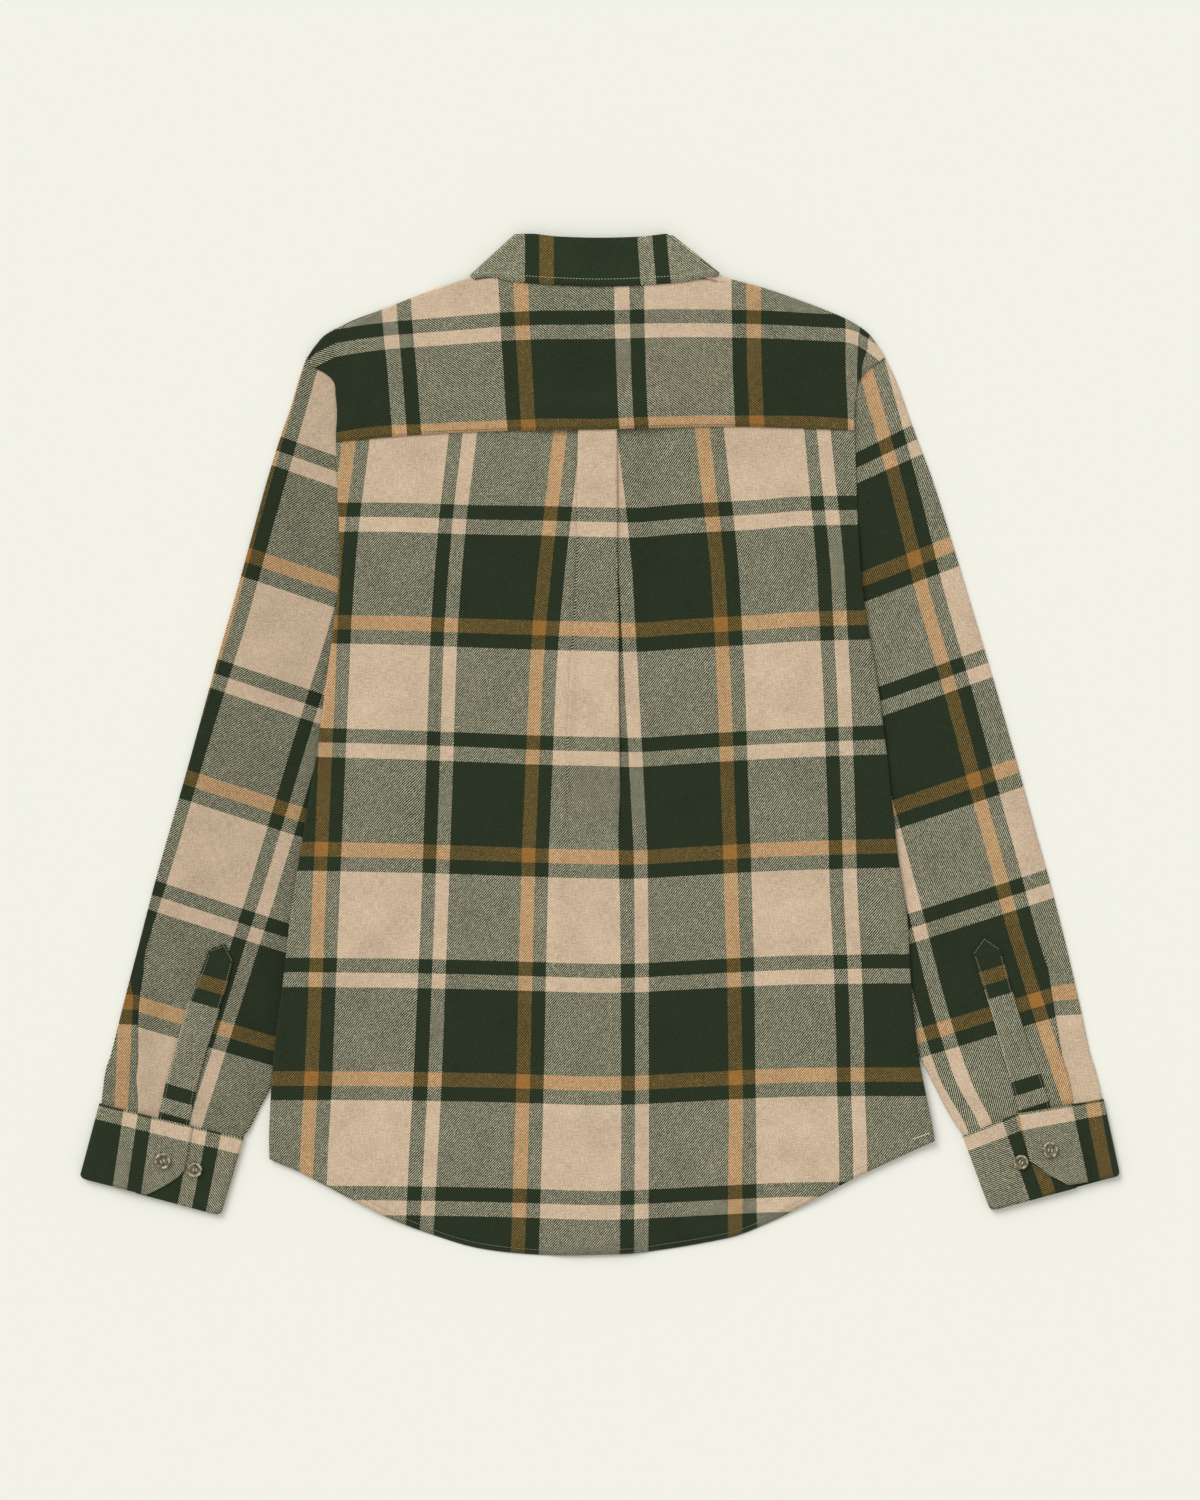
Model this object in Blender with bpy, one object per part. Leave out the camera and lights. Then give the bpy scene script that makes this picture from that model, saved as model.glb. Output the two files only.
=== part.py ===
"""A long-sleeved flannel shirt, buttoned up and laid flat on its front.

The shirt lies face down: z = 0 is the table, +Z is up through the back of the shirt, and
+Y points to the collar. Every piece that a maker cuts and sews is one closed body. Sizes
are in millimetres and become metres when a mesh is made.
"""

import math

import bmesh
import bpy
from mathutils import Vector

MM = 0.001

# Cloth and how its layers lie on each other
CLOTH = 1.1            # thickness of one layer of brushed flannel
SEAM = 0.3             # clearance between two pieces that are sewn together
LAYER = CLOTH + SEAM   # rise from one layer to the next one that lies on it
BODY_LOFT = 3.0        # rise from the fronts to the back, which lie loosely
SLEEVE_LOFT = 1.6      # rise from the under side of a sleeve to its upper side
SLEEVE_STACK = SLEEVE_LOFT + LAYER  # what the body climbs where it lies on a sleeve
CUFF_LOFT = SLEEVE_LOFT + 2 * LAYER
TABLE = CLOTH / 2      # middle of a layer that lies on the table

# Front opening
BUTTON_THICK = 2.0
FRONT_BUTTON_DIA = 11.5
STRIP_RISE = BUTTON_THICK + SEAM       # fronts lie on the buttons along the centre
BACK_STRIP_RISE = STRIP_RISE + 2 * LAYER + SEAM - BODY_LOFT
STRIP_FLAT = 20.0      # half width of the raised strip
STRIP_RAMP = 30.0
FIRST_BUTTON_Y = 215.0
BUTTON_SPACING = 92.0
FRONT_BUTTONS = 6
STRIP_TOP_Y = 228.0
STRIP_TOP_RAMP = 18.0

# Collar and neck
COLLAR_TOP_Z = TABLE + 5 * LAYER + 0.15      # collar fall behind the neck
NECK_RISE = COLLAR_TOP_Z - LAYER - TABLE - BODY_LOFT
STAND_FRONT_Z = TABLE + 2 * LAYER
STAND_BACK_Z = COLLAR_TOP_Z - 2 * LAYER
LIP = 6.0              # how far the fall turns in over its top fold
COLLAR_BUTTON_Y = 293.0

# Yoke seam and hems
SEAM_LAP = 6.0         # a seam hides this much of the lower piece
ARMHOLE_LAP = 2.0
UNDERARM_Y = 116.0
FRONT_HEM_SHORT = 5.0
NECK_CUT = 10.0        # the upper front stops short of the collar stand by its lap

# Cuffs
PLEAT_WIDTH = 16.0     # the sleeve's pleat rises over this width and drops in a sharp line
PLEAT_AT_CUFF = 27.0   # from the sleeve's outer fold
CUFF_ENTRY = 24.0      # the sleeve climbs into the cuff over this length
TAB_CORNER_AT = 0.53   # where the mitre starts, as a share of the cuff's height
PLACKET_RISE = 0.1     # what the placket stands off the sleeve beyond a seam's clearance
CUFF_BUTTON_DIA = 13.0
LINK_BUTTON_DIA = 11.8
CUFF_BUTTON_THICK = 2.6


# Where the body climbs over a sleeve, from the sleeve's inner fold outwards
LIFT_MARGIN = 26.0
LIFT_RAMP = 34.0
ARMHOLE_LIFT = 70.0    # the climb ends this far above the underarm
ARMHOLE_RAMP = 32.0

# Where the fronts climb over the points of the collar
WING_GAP = 0.15
WING_FOOT_Y = 222.0
WING_RAMP = 26.0
WING_HALF = 150.0
WING_SIDE_RAMP = 40.0

# Where the yoke climbs to the collar
NECK_FOOT_Y = 232.0
NECK_RAMP = 50.0
NECK_HALF = 168.0
NECK_SIDE_RAMP = 60.0

# Where the yoke climbs over the back panel, and higher over its pleat
SEAM_REACH = 34.0
SEAM_RAMP = 18.0
PLEAT_HALF = 62.0
PLEAT_RAMP = 24.0

# Shoulder folds, where the yoke turns down to the fronts
SHOULDER_START = 98.0
SHOULDER_TURN = 6.0
YOKE_SHOULDER_END = 232.0
FRONT_SHOULDER_END = 229.0


def table(names, rows):
    """A small table: one list for each named column."""
    return {name: [row[i] for row in rows] for i, name in enumerate(names.split())}


# Visible side edges of the back, from the armhole down to the hem corner
BODY_EDGE = table("y left right", (
    (309.5, -233.6, 228.0),
    (302.3, -230.0, 224.5),
    (295.0, -221.0, 216.0),
    (289.2, -212.2, 207.5),
    (280.0, -211.2, 205.6),
    (243.6, -210.8, 203.6),
    (195.6, -209.2, 205.2),
    (147.6, -207.6, 207.2),
    (110.0, -210.4, 211.2),
    (46.0, -219.2, 221.6),
    (-9.2, -228.0, 228.8),
    (-90.0, -241.6, 237.6),
    (-136.4, -247.6, 244.8),
    (-190.0, -252.8, 248.0),
    (-249.2, -260.8, 255.2),
    (-313.2, -265.2, 268.0),
    (-340.0, -264.0, 270.0),
))

# Curved shirt-tail hem
HEM = table("x y", (
    (-272.0, -325.0),
    (-264.0, -331.5),
    (-242.4, -341.2),
    (-218.4, -353.6),
    (-172.0, -377.2),
    (-132.0, -392.4),
    (-96.8, -402.8),
    (-49.6, -408.2),
    (0.0, -408.8),
    (36.8, -406.0),
    (103.2, -394.4),
    (125.6, -386.8),
    (152.8, -374.0),
    (190.4, -354.0),
    (216.8, -340.4),
    (266.0, -317.5),
    (276.0, -312.0),
))

# Seam between the yoke and the back panel
YOKE_SEAM = table("x y", (
    (-216.0, 241.6),
    (-142.4, 247.6),
    (-75.5, 250.5),
    (0.0, 251.4),
    (105.6, 253.2),
    (210.0, 250.0),
))

# Columns of the yoke, from shoulder tip to shoulder tip: top edge and place on the seam
YOKE_COLUMNS = table("top_x top_y seam_x", (
    (-233.6, 309.5, -210.8),
    (-227.0, 319.5, -200.0),
    (-214.4, 331.2, -184.0),
    (-178.0, 346.0, -158.0),
    (-140.0, 360.6, -126.0),
    (-106.0, 371.8, -94.0),
    (-92.0, 377.5, -80.0),
    (-62.0, 380.5, -52.0),
    (-30.0, 380.2, -26.0),
    (0.0, 380.0, 0.0),
    (30.0, 380.2, 26.0),
    (58.0, 380.5, 52.0),
    (80.0, 378.0, 74.0),
    (99.0, 372.8, 90.0),
    (134.0, 363.6, 122.0),
    (170.0, 351.0, 152.0),
    (197.6, 339.6, 176.0),
    (214.0, 329.0, 190.0),
    (222.5, 318.0, 197.0),
    (228.0, 309.5, 203.6),
))

# Columns of a front, from its free edge to the side: top edge and place on the hem
FRONT_COLUMNS = table("top_x top_y hem_x", (
    (-13.0, 287.5, -13.0),
    (2.0, 287.0, 2.0),
    (20.0, 289.5, 20.0),
    (38.0, 297.0, 35.0),
    (58.0, 311.0, 50.0),
    (76.0, 333.0, 84.0),
    (88.0, 356.0, 126.0),
    (95.0, 373.5, 164.0),
    (134.0, 362.0, 190.0),
    (172.0, 348.0, 215.0),
    (208.0, 333.0, 241.0),
    (231.0, 309.5, 266.0),
))

# Centre-back box pleat: its two folds, and how deep and how open they are on each row
PLEAT = table("y left right left_depth right_depth open", (
    (258.0, -18.0, 13.0, 12.0, 14.0, 0.0),
    (200.0, -17.6, 13.6, 11.0, 12.0, 0.0),
    (150.0, -18.8, 14.4, 9.5, 10.0, 0.0),
    (95.0, -22.0, 15.2, 7.5, 8.0, 0.0),
    (45.0, -24.8, 16.0, 5.0, 5.5, 0.0),
    (0.0, -26.0, 16.6, 3.0, 3.5, 0.0),
    (-45.0, -26.4, 17.0, 1.6, 1.8, 0.35),
    (-90.0, -26.4, 17.4, 1.0, 1.0, 0.75),
    (-135.0, -26.4, 17.6, 1.0, 1.0, 1.0),
    (-420.0, -26.4, 17.6, 1.0, 1.0, 1.0),
))
PLEAT_SPREAD = 2.4     # spacing of the pleat's columns where it lies open

# Sleeves: one row for each section, from the head to the cuff
LEFT_SLEEVE = table("outer_x outer_y inner_x inner_y closed pleat_in pleat_rise", (
    (-234.6, 305.6, -211.0, 287.4, 0.0, 5.0, 0.0),
    (-242.6, 291.0, -209.3, 270.0, 0.0, 8.0, 0.0),
    (-253.6, 251.5, -208.8, 236.0, 0.0, 10.0, 0.0),
    (-266.0, 212.0, -207.3, 198.0, 0.0, 14.0, 0.0),
    (-279.2, 163.6, -205.6, 152.0, 0.0, 16.0, 0.0),
    (-291.2, 120.0, -204.6, 112.0, 0.4, 18.0, 0.0),
    (-302.6, 80.0, -189.0, 76.0, 1.0, 20.0, 0.0),
    (-315.6, 33.0, -180.0, 21.0, 1.0, 20.0, 0.0),
    (-329.0, -16.0, -180.5, -38.0, 1.0, 18.0, 0.0),
    (-343.0, -65.0, -190.5, -92.0, 1.0, 14.0, 0.0),
    (-356.6, -113.0, -208.0, -145.0, 1.0, 9.0, 0.0),
    (-369.0, -161.0, -229.0, -198.0, 1.0, 9.5, 0.7),
    (-380.4, -205.0, -248.5, -242.0, 1.0, 14.0, 1.2),
    (-391.4, -249.0, -267.2, -281.5, 1.0, 22.0, 1.3),
    (-395.3, -260.5, -271.6, -290.0, 1.0, 24.0, 1.3),
))
RIGHT_SLEEVE = table("outer_x outer_y inner_x inner_y closed pleat_in pleat_rise", (
    (229.4, 305.6, 206.6, 287.4, 0.0, 5.0, 0.0),
    (237.2, 291.0, 203.8, 270.0, 0.0, 8.0, 0.0),
    (251.2, 251.5, 201.6, 236.0, 0.0, 10.0, 0.0),
    (265.6, 212.0, 203.0, 198.0, 0.0, 14.0, 0.0),
    (280.8, 163.6, 205.0, 152.0, 0.0, 16.0, 0.0),
    (294.0, 120.0, 206.6, 112.0, 0.4, 18.0, 0.0),
    (306.0, 80.0, 190.0, 76.0, 1.0, 20.0, 0.0),
    (319.8, 33.0, 180.0, 21.0, 1.0, 20.0, 0.0),
    (333.6, -16.0, 180.5, -38.0, 1.0, 20.0, 0.0),
    (347.0, -65.0, 190.5, -92.0, 1.0, 20.0, 0.0),
    (360.4, -113.0, 208.0, -145.0, 1.0, 19.0, 0.0),
    (372.6, -161.0, 229.0, -196.0, 1.0, 19.0, 0.3),
    (382.8, -205.0, 249.0, -237.0, 1.0, 20.0, 1.1),
    (391.8, -247.0, 269.4, -275.0, 1.0, 23.0, 1.3),
    (395.6, -258.6, 276.5, -288.0, 1.0, 24.0, 1.3),
))

# End of a sleeve at its cuff: place past the cuff's top edge, and how far in from the cuff's
# corners the two folds lie
SLEEVE_END = table("past outer_in inner_in pleat_rise", (
    (-9.0, 0.8, -2.4, 1.1),
    (-1.0, 1.8, 1.2, 0.0),
    (8.0, 2.6, 2.6, 0.0),
))

# How far in the body is lifted where it lies on each sleeve
SLEEVE_INNER = table("y left right", (
    (190.0, -188.0, 188.0),
    (112.0, -184.0, 184.0),
    (76.0, -182.0, 182.0),
    (21.0, -180.0, 180.0),
    (-38.0, -180.5, 180.5),
    (-92.0, -190.5, 190.5),
    (-145.0, -208.0, 208.0),
    (-198.0, -229.0, 229.5),
    (-283.0, -266.5, 271.0),
    (-340.0, -325.0, 325.0),
))

# Cuffs: the four corners, then the overlapping tab and the buttons on it
LEFT_CUFF = {
    "outer_top": (-401.5, -284.5), "inner_top": (-285.0, -315.0),
    "outer_low": (-416.0, -346.0), "inner_low": (-303.0, -376.2),
    "tab_top": 0.631, "tab_corner": 0.687, "tab_mitre": 0.481, "under_end": 0.4,
    "button": (-349.0, -332.6), "link_button": (-323.4, -339.6),
}
RIGHT_CUFF = {
    "outer_top": (402.6, -282.0), "inner_top": (290.8, -312.5),
    "outer_low": (415.4, -344.5), "inner_low": (314.4, -372.6),
    "tab_top": 0.617, "tab_corner": 0.624, "tab_mitre": 0.406, "under_end": 0.34,
    "button": (359.2, -323.6), "link_button": (336.0, -333.4),
}

# Sleeve plackets: left edge, ridge of the point and right edge, from the point down
LEFT_PLACKET = table("left_x left_y mid_x mid_y right_x right_y", (
    (-312.0, -164.4, -303.6, -160.0, -294.4, -171.6),
    (-316.8, -182.0, -308.4, -184.0, -300.0, -186.0),
    (-328.0, -206.0, -318.0, -209.0, -308.0, -212.0),
    (-338.0, -241.0, -327.0, -244.5, -316.0, -248.0),
    (-346.0, -272.0, -335.0, -274.8, -324.0, -277.6),
    (-351.6, -294.6, -339.8, -297.4, -328.4, -300.2),
))
RIGHT_PLACKET = table("left_x left_y mid_x mid_y right_x right_y", (
    (299.2, -166.0, 308.8, -156.4, 320.0, -166.0),
    (302.4, -182.0, 313.0, -184.0, 326.8, -188.4),
    (311.6, -210.0, 324.0, -213.6, 335.2, -217.2),
    (319.6, -238.0, 331.2, -241.6, 344.0, -245.2),
    (328.0, -268.0, 340.8, -270.0, 352.8, -266.0),
    (334.6, -293.0, 346.8, -291.2, 359.4, -288.2),
))

# Collar: one row for each section from the centre front round to the centre back
COLLAR = table("fold_x fold_y edge_x edge_y stand_x stand_y seam_x seam_y", (
    (4.0, 312.0, 52.0, 258.0, -12.0, 306.0, -12.0, 279.0),
    (22.0, 318.0, 66.0, 286.0, 6.0, 306.6, 8.0, 279.2),
    (42.0, 334.0, 80.0, 315.0, 25.0, 313.0, 36.0, 289.0),
    (57.0, 356.0, 92.0, 343.0, 46.0, 331.0, 64.0, 311.0),
    (64.0, 383.0, 98.0, 362.0, 58.5, 358.0, 82.0, 343.0),
))
COLLAR_SIDE = table("fold_x fold_y edge_x edge_y stand_x stand_y seam_x seam_y", (
    (-67.5, 407.6, -104.0, 375.0, -65.5, 400.5, -88.0, 381.0),
    (69.0, 407.6, 95.6, 377.0, 66.0, 400.5, 85.0, 382.5),
))
COLLAR_BACK = table("fold_x fold_y edge_x edge_y stand_x stand_y seam_x seam_y", (
    (58.0, 407.2, 80.0, 371.0, 50.0, 400.0, 60.0, 375.5),
    (34.0, 405.6, 42.0, 367.2, 26.0, 398.8, 30.0, 373.6),
    (0.0, 404.6, 0.0, 365.6, 0.0, 398.2, 0.0, 373.0),
))

# Colours of the brushed cloth and of the buttons
GREEN = (0.016, 0.032, 0.018)
MIXED = (0.20, 0.20, 0.15)
RESIN = (0.36, 0.31, 0.20)


def read(columns, name, key, at):
    """Value of one column of a table at a place between its rows, on a smooth curve."""
    keys = columns[key]
    values = columns[name]
    if keys[0] > keys[-1]:
        keys = keys[::-1]
        values = values[::-1]
    at = min(max(at, keys[0]), keys[-1])
    i = max(k for k in range(len(keys) - 1) if keys[k] <= at)

    def slope(k):
        low = max(k - 1, 0)
        high = min(k + 1, len(keys) - 1)
        return (values[high] - values[low]) / (keys[high] - keys[low])

    span = keys[i + 1] - keys[i]
    t = (at - keys[i]) / span
    start = values[i] * (2 * t ** 3 - 3 * t ** 2 + 1) + values[i + 1] * (3 * t ** 2 - 2 * t ** 3)
    return start + span * (slope(i) * (t ** 3 - 2 * t ** 2 + t) + slope(i + 1) * (t ** 3 - t ** 2))


def ease(value):
    """0 below 0, 1 above 1 and a smooth rise between."""
    value = min(max(value, 0.0), 1.0)
    return value * value * (3 - 2 * value)


def mix(a, b, t):
    return a + (b - a) * t


def plan(x, y, z=0.0):
    return Vector((x, y, z))


# How high each layer lies

def strip(x):
    """1 along the centre, where the fronts overlap on their buttons."""
    return ease((STRIP_FLAT + STRIP_RAMP - abs(x)) / STRIP_RAMP)


def sleeve_rise(x, y):
    """Rise of the body where it lies on a sleeve."""
    side = "left" if x < 0 else "right"
    reach = abs(x) - abs(read(SLEEVE_INNER, side, "y", y))
    across = ease((reach + LIFT_MARGIN + LIFT_RAMP) / LIFT_RAMP)
    along = ease((UNDERARM_Y + ARMHOLE_LIFT - y) / ARMHOLE_RAMP)
    return SLEEVE_STACK * across * along


def wing_rise(x, y):
    """Rise of the fronts where they lie on the points of the collar."""
    across = ease((WING_HALF - abs(x)) / WING_SIDE_RAMP)
    return (LAYER + WING_GAP) * ease((y - WING_FOOT_Y) / WING_RAMP) * across


def front_height(x, y):
    along = ease((STRIP_TOP_Y + STRIP_TOP_RAMP - y) / STRIP_TOP_RAMP)
    return TABLE + sleeve_rise(x, y) + wing_rise(x, y) + STRIP_RISE * strip(x) * along


def back_height(x, y):
    """Middle of the back and of the yoke; the yoke climbs to the collar."""
    neck = ease((y - NECK_FOOT_Y) / NECK_RAMP) * ease((NECK_HALF - abs(x)) / NECK_SIDE_RAMP)
    centre = max(BACK_STRIP_RISE * strip(x), NECK_RISE * neck)
    return TABLE + BODY_LOFT + sleeve_rise(x, y) + centre


# Making cloth from a grid of points

def unit(vector):
    length = vector.length
    return vector / length if length > 1e-9 else vector


def skins(grid):
    """The two surfaces that lie half a thickness to each side of a grid of points."""
    facing = []
    for low, high in zip(grid, grid[1:]):
        facing.append([unit((high[c + 1] - low[c]).cross(high[c] - low[c + 1]))
                       for c in range(len(low) - 1)])
    top = []
    bottom = []
    for r, row in enumerate(grid):
        top.append([])
        bottom.append([])
        for c, point in enumerate(row):
            near = [facing[i][j] for i in (r - 1, r) for j in (c - 1, c)
                    if 0 <= i < len(facing) and 0 <= j < len(facing[0])]
            normal = unit(sum(near, Vector()))
            lean = sum(normal.dot(face) for face in near) / len(near)
            half = normal * (CLOTH / 2 / max(lean, 0.7))
            top[r].append(point + half)
            bottom[r].append(point - half)
    return top, bottom


def material(name, color, roughness):
    made = bpy.data.materials.new(name)
    made.use_nodes = True
    shader = made.node_tree.nodes["Principled BSDF"]
    shader.inputs["Base Color"].default_value = (*color, 1.0)
    shader.inputs["Roughness"].default_value = roughness
    shader.inputs["Metallic"].default_value = 0.0
    return made


def add_object(name, mesh_source, color, roughness):
    bmesh.ops.recalc_face_normals(mesh_source, faces=mesh_source.faces)
    mesh = bpy.data.meshes.new(name)
    mesh_source.to_mesh(mesh)
    mesh_source.free()
    mesh.materials.append(material(name, color, roughness))
    mesh.shade_smooth()
    mesh.set_sharp_from_angle(angle=math.radians(40))
    made = bpy.data.objects.new(name, mesh)
    bpy.context.scene.collection.objects.link(made)
    return made


def cloth(name, grid, color):
    """A closed sheet of cloth on a grid of points."""
    shape = bmesh.new()
    sides = []
    for skin in skins(grid):
        sides.append([[shape.verts.new(plan(p.x, p.y, max(p.z, 0.0)) * MM) for p in row]
                      for row in skin])
    rows = len(grid)
    cols = len(grid[0])
    for skin in sides:
        for r in range(rows - 1):
            for c in range(cols - 1):
                shape.faces.new((skin[r][c], skin[r][c + 1], skin[r + 1][c + 1], skin[r + 1][c]))
    top, bottom = sides
    border = [(0, c) for c in range(cols)]
    border += [(r, cols - 1) for r in range(1, rows)]
    border += [(rows - 1, c) for c in range(cols - 2, -1, -1)]
    border += [(r, 0) for r in range(rows - 2, 0, -1)]
    for (r, c), (s, d) in zip(border, border[1:] + border[:1]):
        shape.faces.new((top[r][c], top[s][d], bottom[s][d], bottom[r][c]))
    return add_object(name, shape, color, 0.9)


def rim(line, other_z, closing):
    """Replace the first point of a line by three that turn towards the other layer."""
    edge = line[0]
    inward = line[1] - edge
    inward.z = 0.0
    inward = unit(inward)
    half = (edge.z - other_z) / 2
    radius = abs(half)
    turned = []
    for degrees, lie in ((70, 0.0), (42, 1.0), (0, 2.0)):
        angle = math.radians(degrees)
        fold = edge + inward * radius * (1 - math.sin(angle))
        fold.z = edge.z - half + half * math.cos(angle)
        flat = edge + inward * radius * lie
        turned.append(flat.lerp(fold, closing))
    return turned + line[1:]


# Body

def side_closing(y):
    """0 along the armhole, where the back lies on the sleeve, and 1 at the side seam."""
    return ease((UNDERARM_Y + 4 - y) / 20)


def pleat_fold(fold_x, depth, opened, side):
    """Points of one fold of the box pleat, from the side panel to the box: (x, rise).

    side is -1 for the left fold and 1 for the right one. Each fold turns twice: in under the
    box, then back out, and lies open as a flat strip where the pleat has run out.
    """
    radius = LAYER / 2
    points = []
    for degrees in (-90, -30, 30, 90):
        angle = math.radians(degrees)
        points.append((depth + radius * math.cos(angle), radius + radius * math.sin(angle)))
    for degrees in (-90, -30, 30, 90):
        angle = math.radians(degrees)
        points.append((-radius * math.cos(angle), 3 * radius + radius * math.sin(angle)))
    placed = []
    for k, (inward, rise) in enumerate(points):
        flat = (k - (len(points) - 1) / 2) * PLEAT_SPREAD
        placed.append((fold_x - side * mix(inward, flat, opened), mix(rise, 0.0, opened)))
    return placed


def back_row(v):
    """One row of the back panel, from its left edge to its right one."""
    ends = []
    for side in ("left", "right"):
        y = mix(245.0, -325.0, v)
        for _ in range(4):
            x = read(BODY_EDGE, side, "y", y)
            y = mix(read(YOKE_SEAM, "y", "x", x) + SEAM_LAP, read(HEM, "y", "x", x), v)
        ends.append(x)
    middle_y = mix(read(YOKE_SEAM, "y", "x", 0) + SEAM_LAP, read(HEM, "y", "x", 0), v)
    opened = read(PLEAT, "open", "y", middle_y)
    folds = []
    for side, sign in (("left", -1), ("right", 1)):
        folds.append(pleat_fold(read(PLEAT, side, "y", middle_y),
                                read(PLEAT, side + "_depth", "y", middle_y), opened, sign))
    left_fold, right_fold = folds
    right_fold = right_fold[::-1]
    box_rise = mix(2 * LAYER, 0.0, opened)
    line = [(mix(ends[0], left_fold[0][0], k / 7), 0.0) for k in range(7)]
    line += left_fold
    line += [(mix(left_fold[-1][0], right_fold[0][0], k / 3), box_rise) for k in (1, 2)]
    line += right_fold
    line += [(mix(right_fold[-1][0], ends[1], k / 7), 0.0) for k in range(1, 8)]
    row = []
    for x, rise in line:
        y = mix(read(YOKE_SEAM, "y", "x", x) + SEAM_LAP, read(HEM, "y", "x", x), v)
        row.append(plan(x, y, back_height(x, y) + rise))
    for _ in range(2):
        closing = side_closing(row[0].y)
        row = rim(row, row[0].z - BODY_LOFT, closing)[::-1]
    return row


def back_panel():
    rows = [back_row(v) for v in (0, 0.02, 0.06, 0.11, 0.16, 0.205, 0.25, 0.31, 0.37, 0.43, 0.49,
                                  0.55, 0.61, 0.67, 0.73, 0.79, 0.85, 0.91, 0.96, 1)]
    cloth("back_panel", rows, MIXED)


def coons(columns, v, left_edge, right_edge, fan):
    """A row of points between two edges: columns are (top point, low point, share).

    A fan above 1 spreads the columns sooner, so that they leave a steep neckline squarely.
    """
    row = []
    for top, low, share in columns:
        point = top.lerp(low, v)
        point.x = mix(top.x, low.x, 1 - (1 - v) ** fan)
        row.append(point)
    first = row[0].copy()
    last = row[-1].copy()
    for point, (_, _, share) in zip(row, columns):
        if left_edge:
            point += (left_edge(v) - first) * (1 - share)
        if right_edge:
            point += (right_edge(v) - last) * share
    return row


def shoulder_closing(x, end):
    """1 along a shoulder, where the yoke and a front meet in a fold, and 0 past its ends."""
    return ease((abs(x) - SHOULDER_START) / SHOULDER_TURN) * ease((end - abs(x)) / SHOULDER_TURN)


def back_yoke():
    columns = []
    count = len(YOKE_COLUMNS["top_x"])
    for k in range(count):
        x = YOKE_COLUMNS["seam_x"][k]
        columns.append((plan(YOKE_COLUMNS["top_x"][k], YOKE_COLUMNS["top_y"][k]),
                        plan(x, read(YOKE_SEAM, "y", "x", x)), k / (count - 1)))

    def edge(side, end):
        def at(v):
            y = mix(end[0].y, end[1].y, v)
            return plan(read(BODY_EDGE, side, "y", y), y)
        return at

    rows = []
    for v in (0, 0.06, 0.14, 0.25, 0.4, 0.56, 0.72, 0.84, 0.93, 1):
        row = coons(columns, v, edge("left", columns[0]), edge("right", columns[-1]), 1)
        for point in row:
            above_seam = point.y - read(YOKE_SEAM, "y", "x", point.x)
            near = ease((SEAM_REACH - above_seam) / SEAM_RAMP)
            pleat = ease((PLEAT_HALF - abs(point.x)) / PLEAT_RAMP)
            point.z = back_height(point.x, point.y)
            point.z += near * (LAYER + 2 * LAYER * pleat)
        rows.append(row)
    lines = []
    for line in zip(*rows):
        line = list(line)
        closing = shoulder_closing(line[0].x, YOKE_SHOULDER_END)
        lines.append(rim(line, front_height(line[0].x, line[0].y), closing))
    cloth("back_yoke", [list(row) for row in zip(*lines)], MIXED)


def front(name, sign, lift):
    """One front. sign is -1 on the left; lift raises the front that lies underneath as worn."""
    side = "left" if sign < 0 else "right"
    columns = []
    count = len(FRONT_COLUMNS["top_x"])
    for k in range(count):
        x = sign * FRONT_COLUMNS["hem_x"][k]
        low = plan(x, read(HEM, "y", "x", x) + FRONT_HEM_SHORT)
        top_x = FRONT_COLUMNS["top_x"][k]
        neck_cut = NECK_CUT * ease((60 - top_x) / 20) if lift else 0.0
        top = plan(sign * top_x, FRONT_COLUMNS["top_y"][k] - neck_cut)
        columns.append((top, low, k / (count - 1)))

    def edge(v):
        y = mix(columns[-1][0].y, columns[-1][1].y, v)
        butt = (ARMHOLE_LAP + SEAM) * ease((y - UNDERARM_Y + 8) / 16)
        return plan(read(BODY_EDGE, side, "y", y) - sign * butt, y)

    rows = []
    for v in (0, 0.03, 0.07, 0.11, 0.15, 0.2, 0.26, 0.3, 0.34, 0.4, 0.47, 0.54, 0.61, 0.68,
              0.75, 0.82, 0.89, 0.95, 1):
        row = coons(columns, v, None, edge, 4)
        for point in row:
            point.z = front_height(point.x, point.y)
            point.z += lift * ease((40 - sign * point.x) / 25)
        row = rim(row[::-1], row[-1].z + BODY_LOFT, side_closing(row[-1].y))[::-1]
        rows.append(row)
    lines = []
    for line in zip(*rows):
        line = list(line)
        closing = shoulder_closing(line[0].x, FRONT_SHOULDER_END)
        lines.append(rim(line, back_height(line[0].x, line[0].y), closing))
    cloth(name, [list(row) for row in zip(*lines)], MIXED)


# Sleeves, cuffs and plackets

def sleeve_sections(sections):
    """Outer point, inner point, closing and pleat of each section of a sleeve."""
    return [(plan(*row[:2]), plan(*row[2:4]), *row[4:]) for row in zip(*sections.values())]


def cuff_lines(cuff):
    """The cuff's top corners, the way along its top edge and the way to the hand."""
    outer = plan(*cuff["outer_top"])
    inner = plan(*cuff["inner_top"])
    along = unit(inner - outer)
    to_hand = plan(along.y, -along.x)
    if to_hand.y > 0:
        to_hand = -to_hand
    return outer, inner, along, to_hand


def cuff_entry(point, cuff):
    """Rise of the sleeve where it climbs into the cuff."""
    outer, _, _, to_hand = cuff_lines(cuff)
    past = (point - outer).dot(to_hand) + 1.0
    return LAYER * min(max(1 + past / CUFF_ENTRY, 0.0), 1.0)


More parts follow.
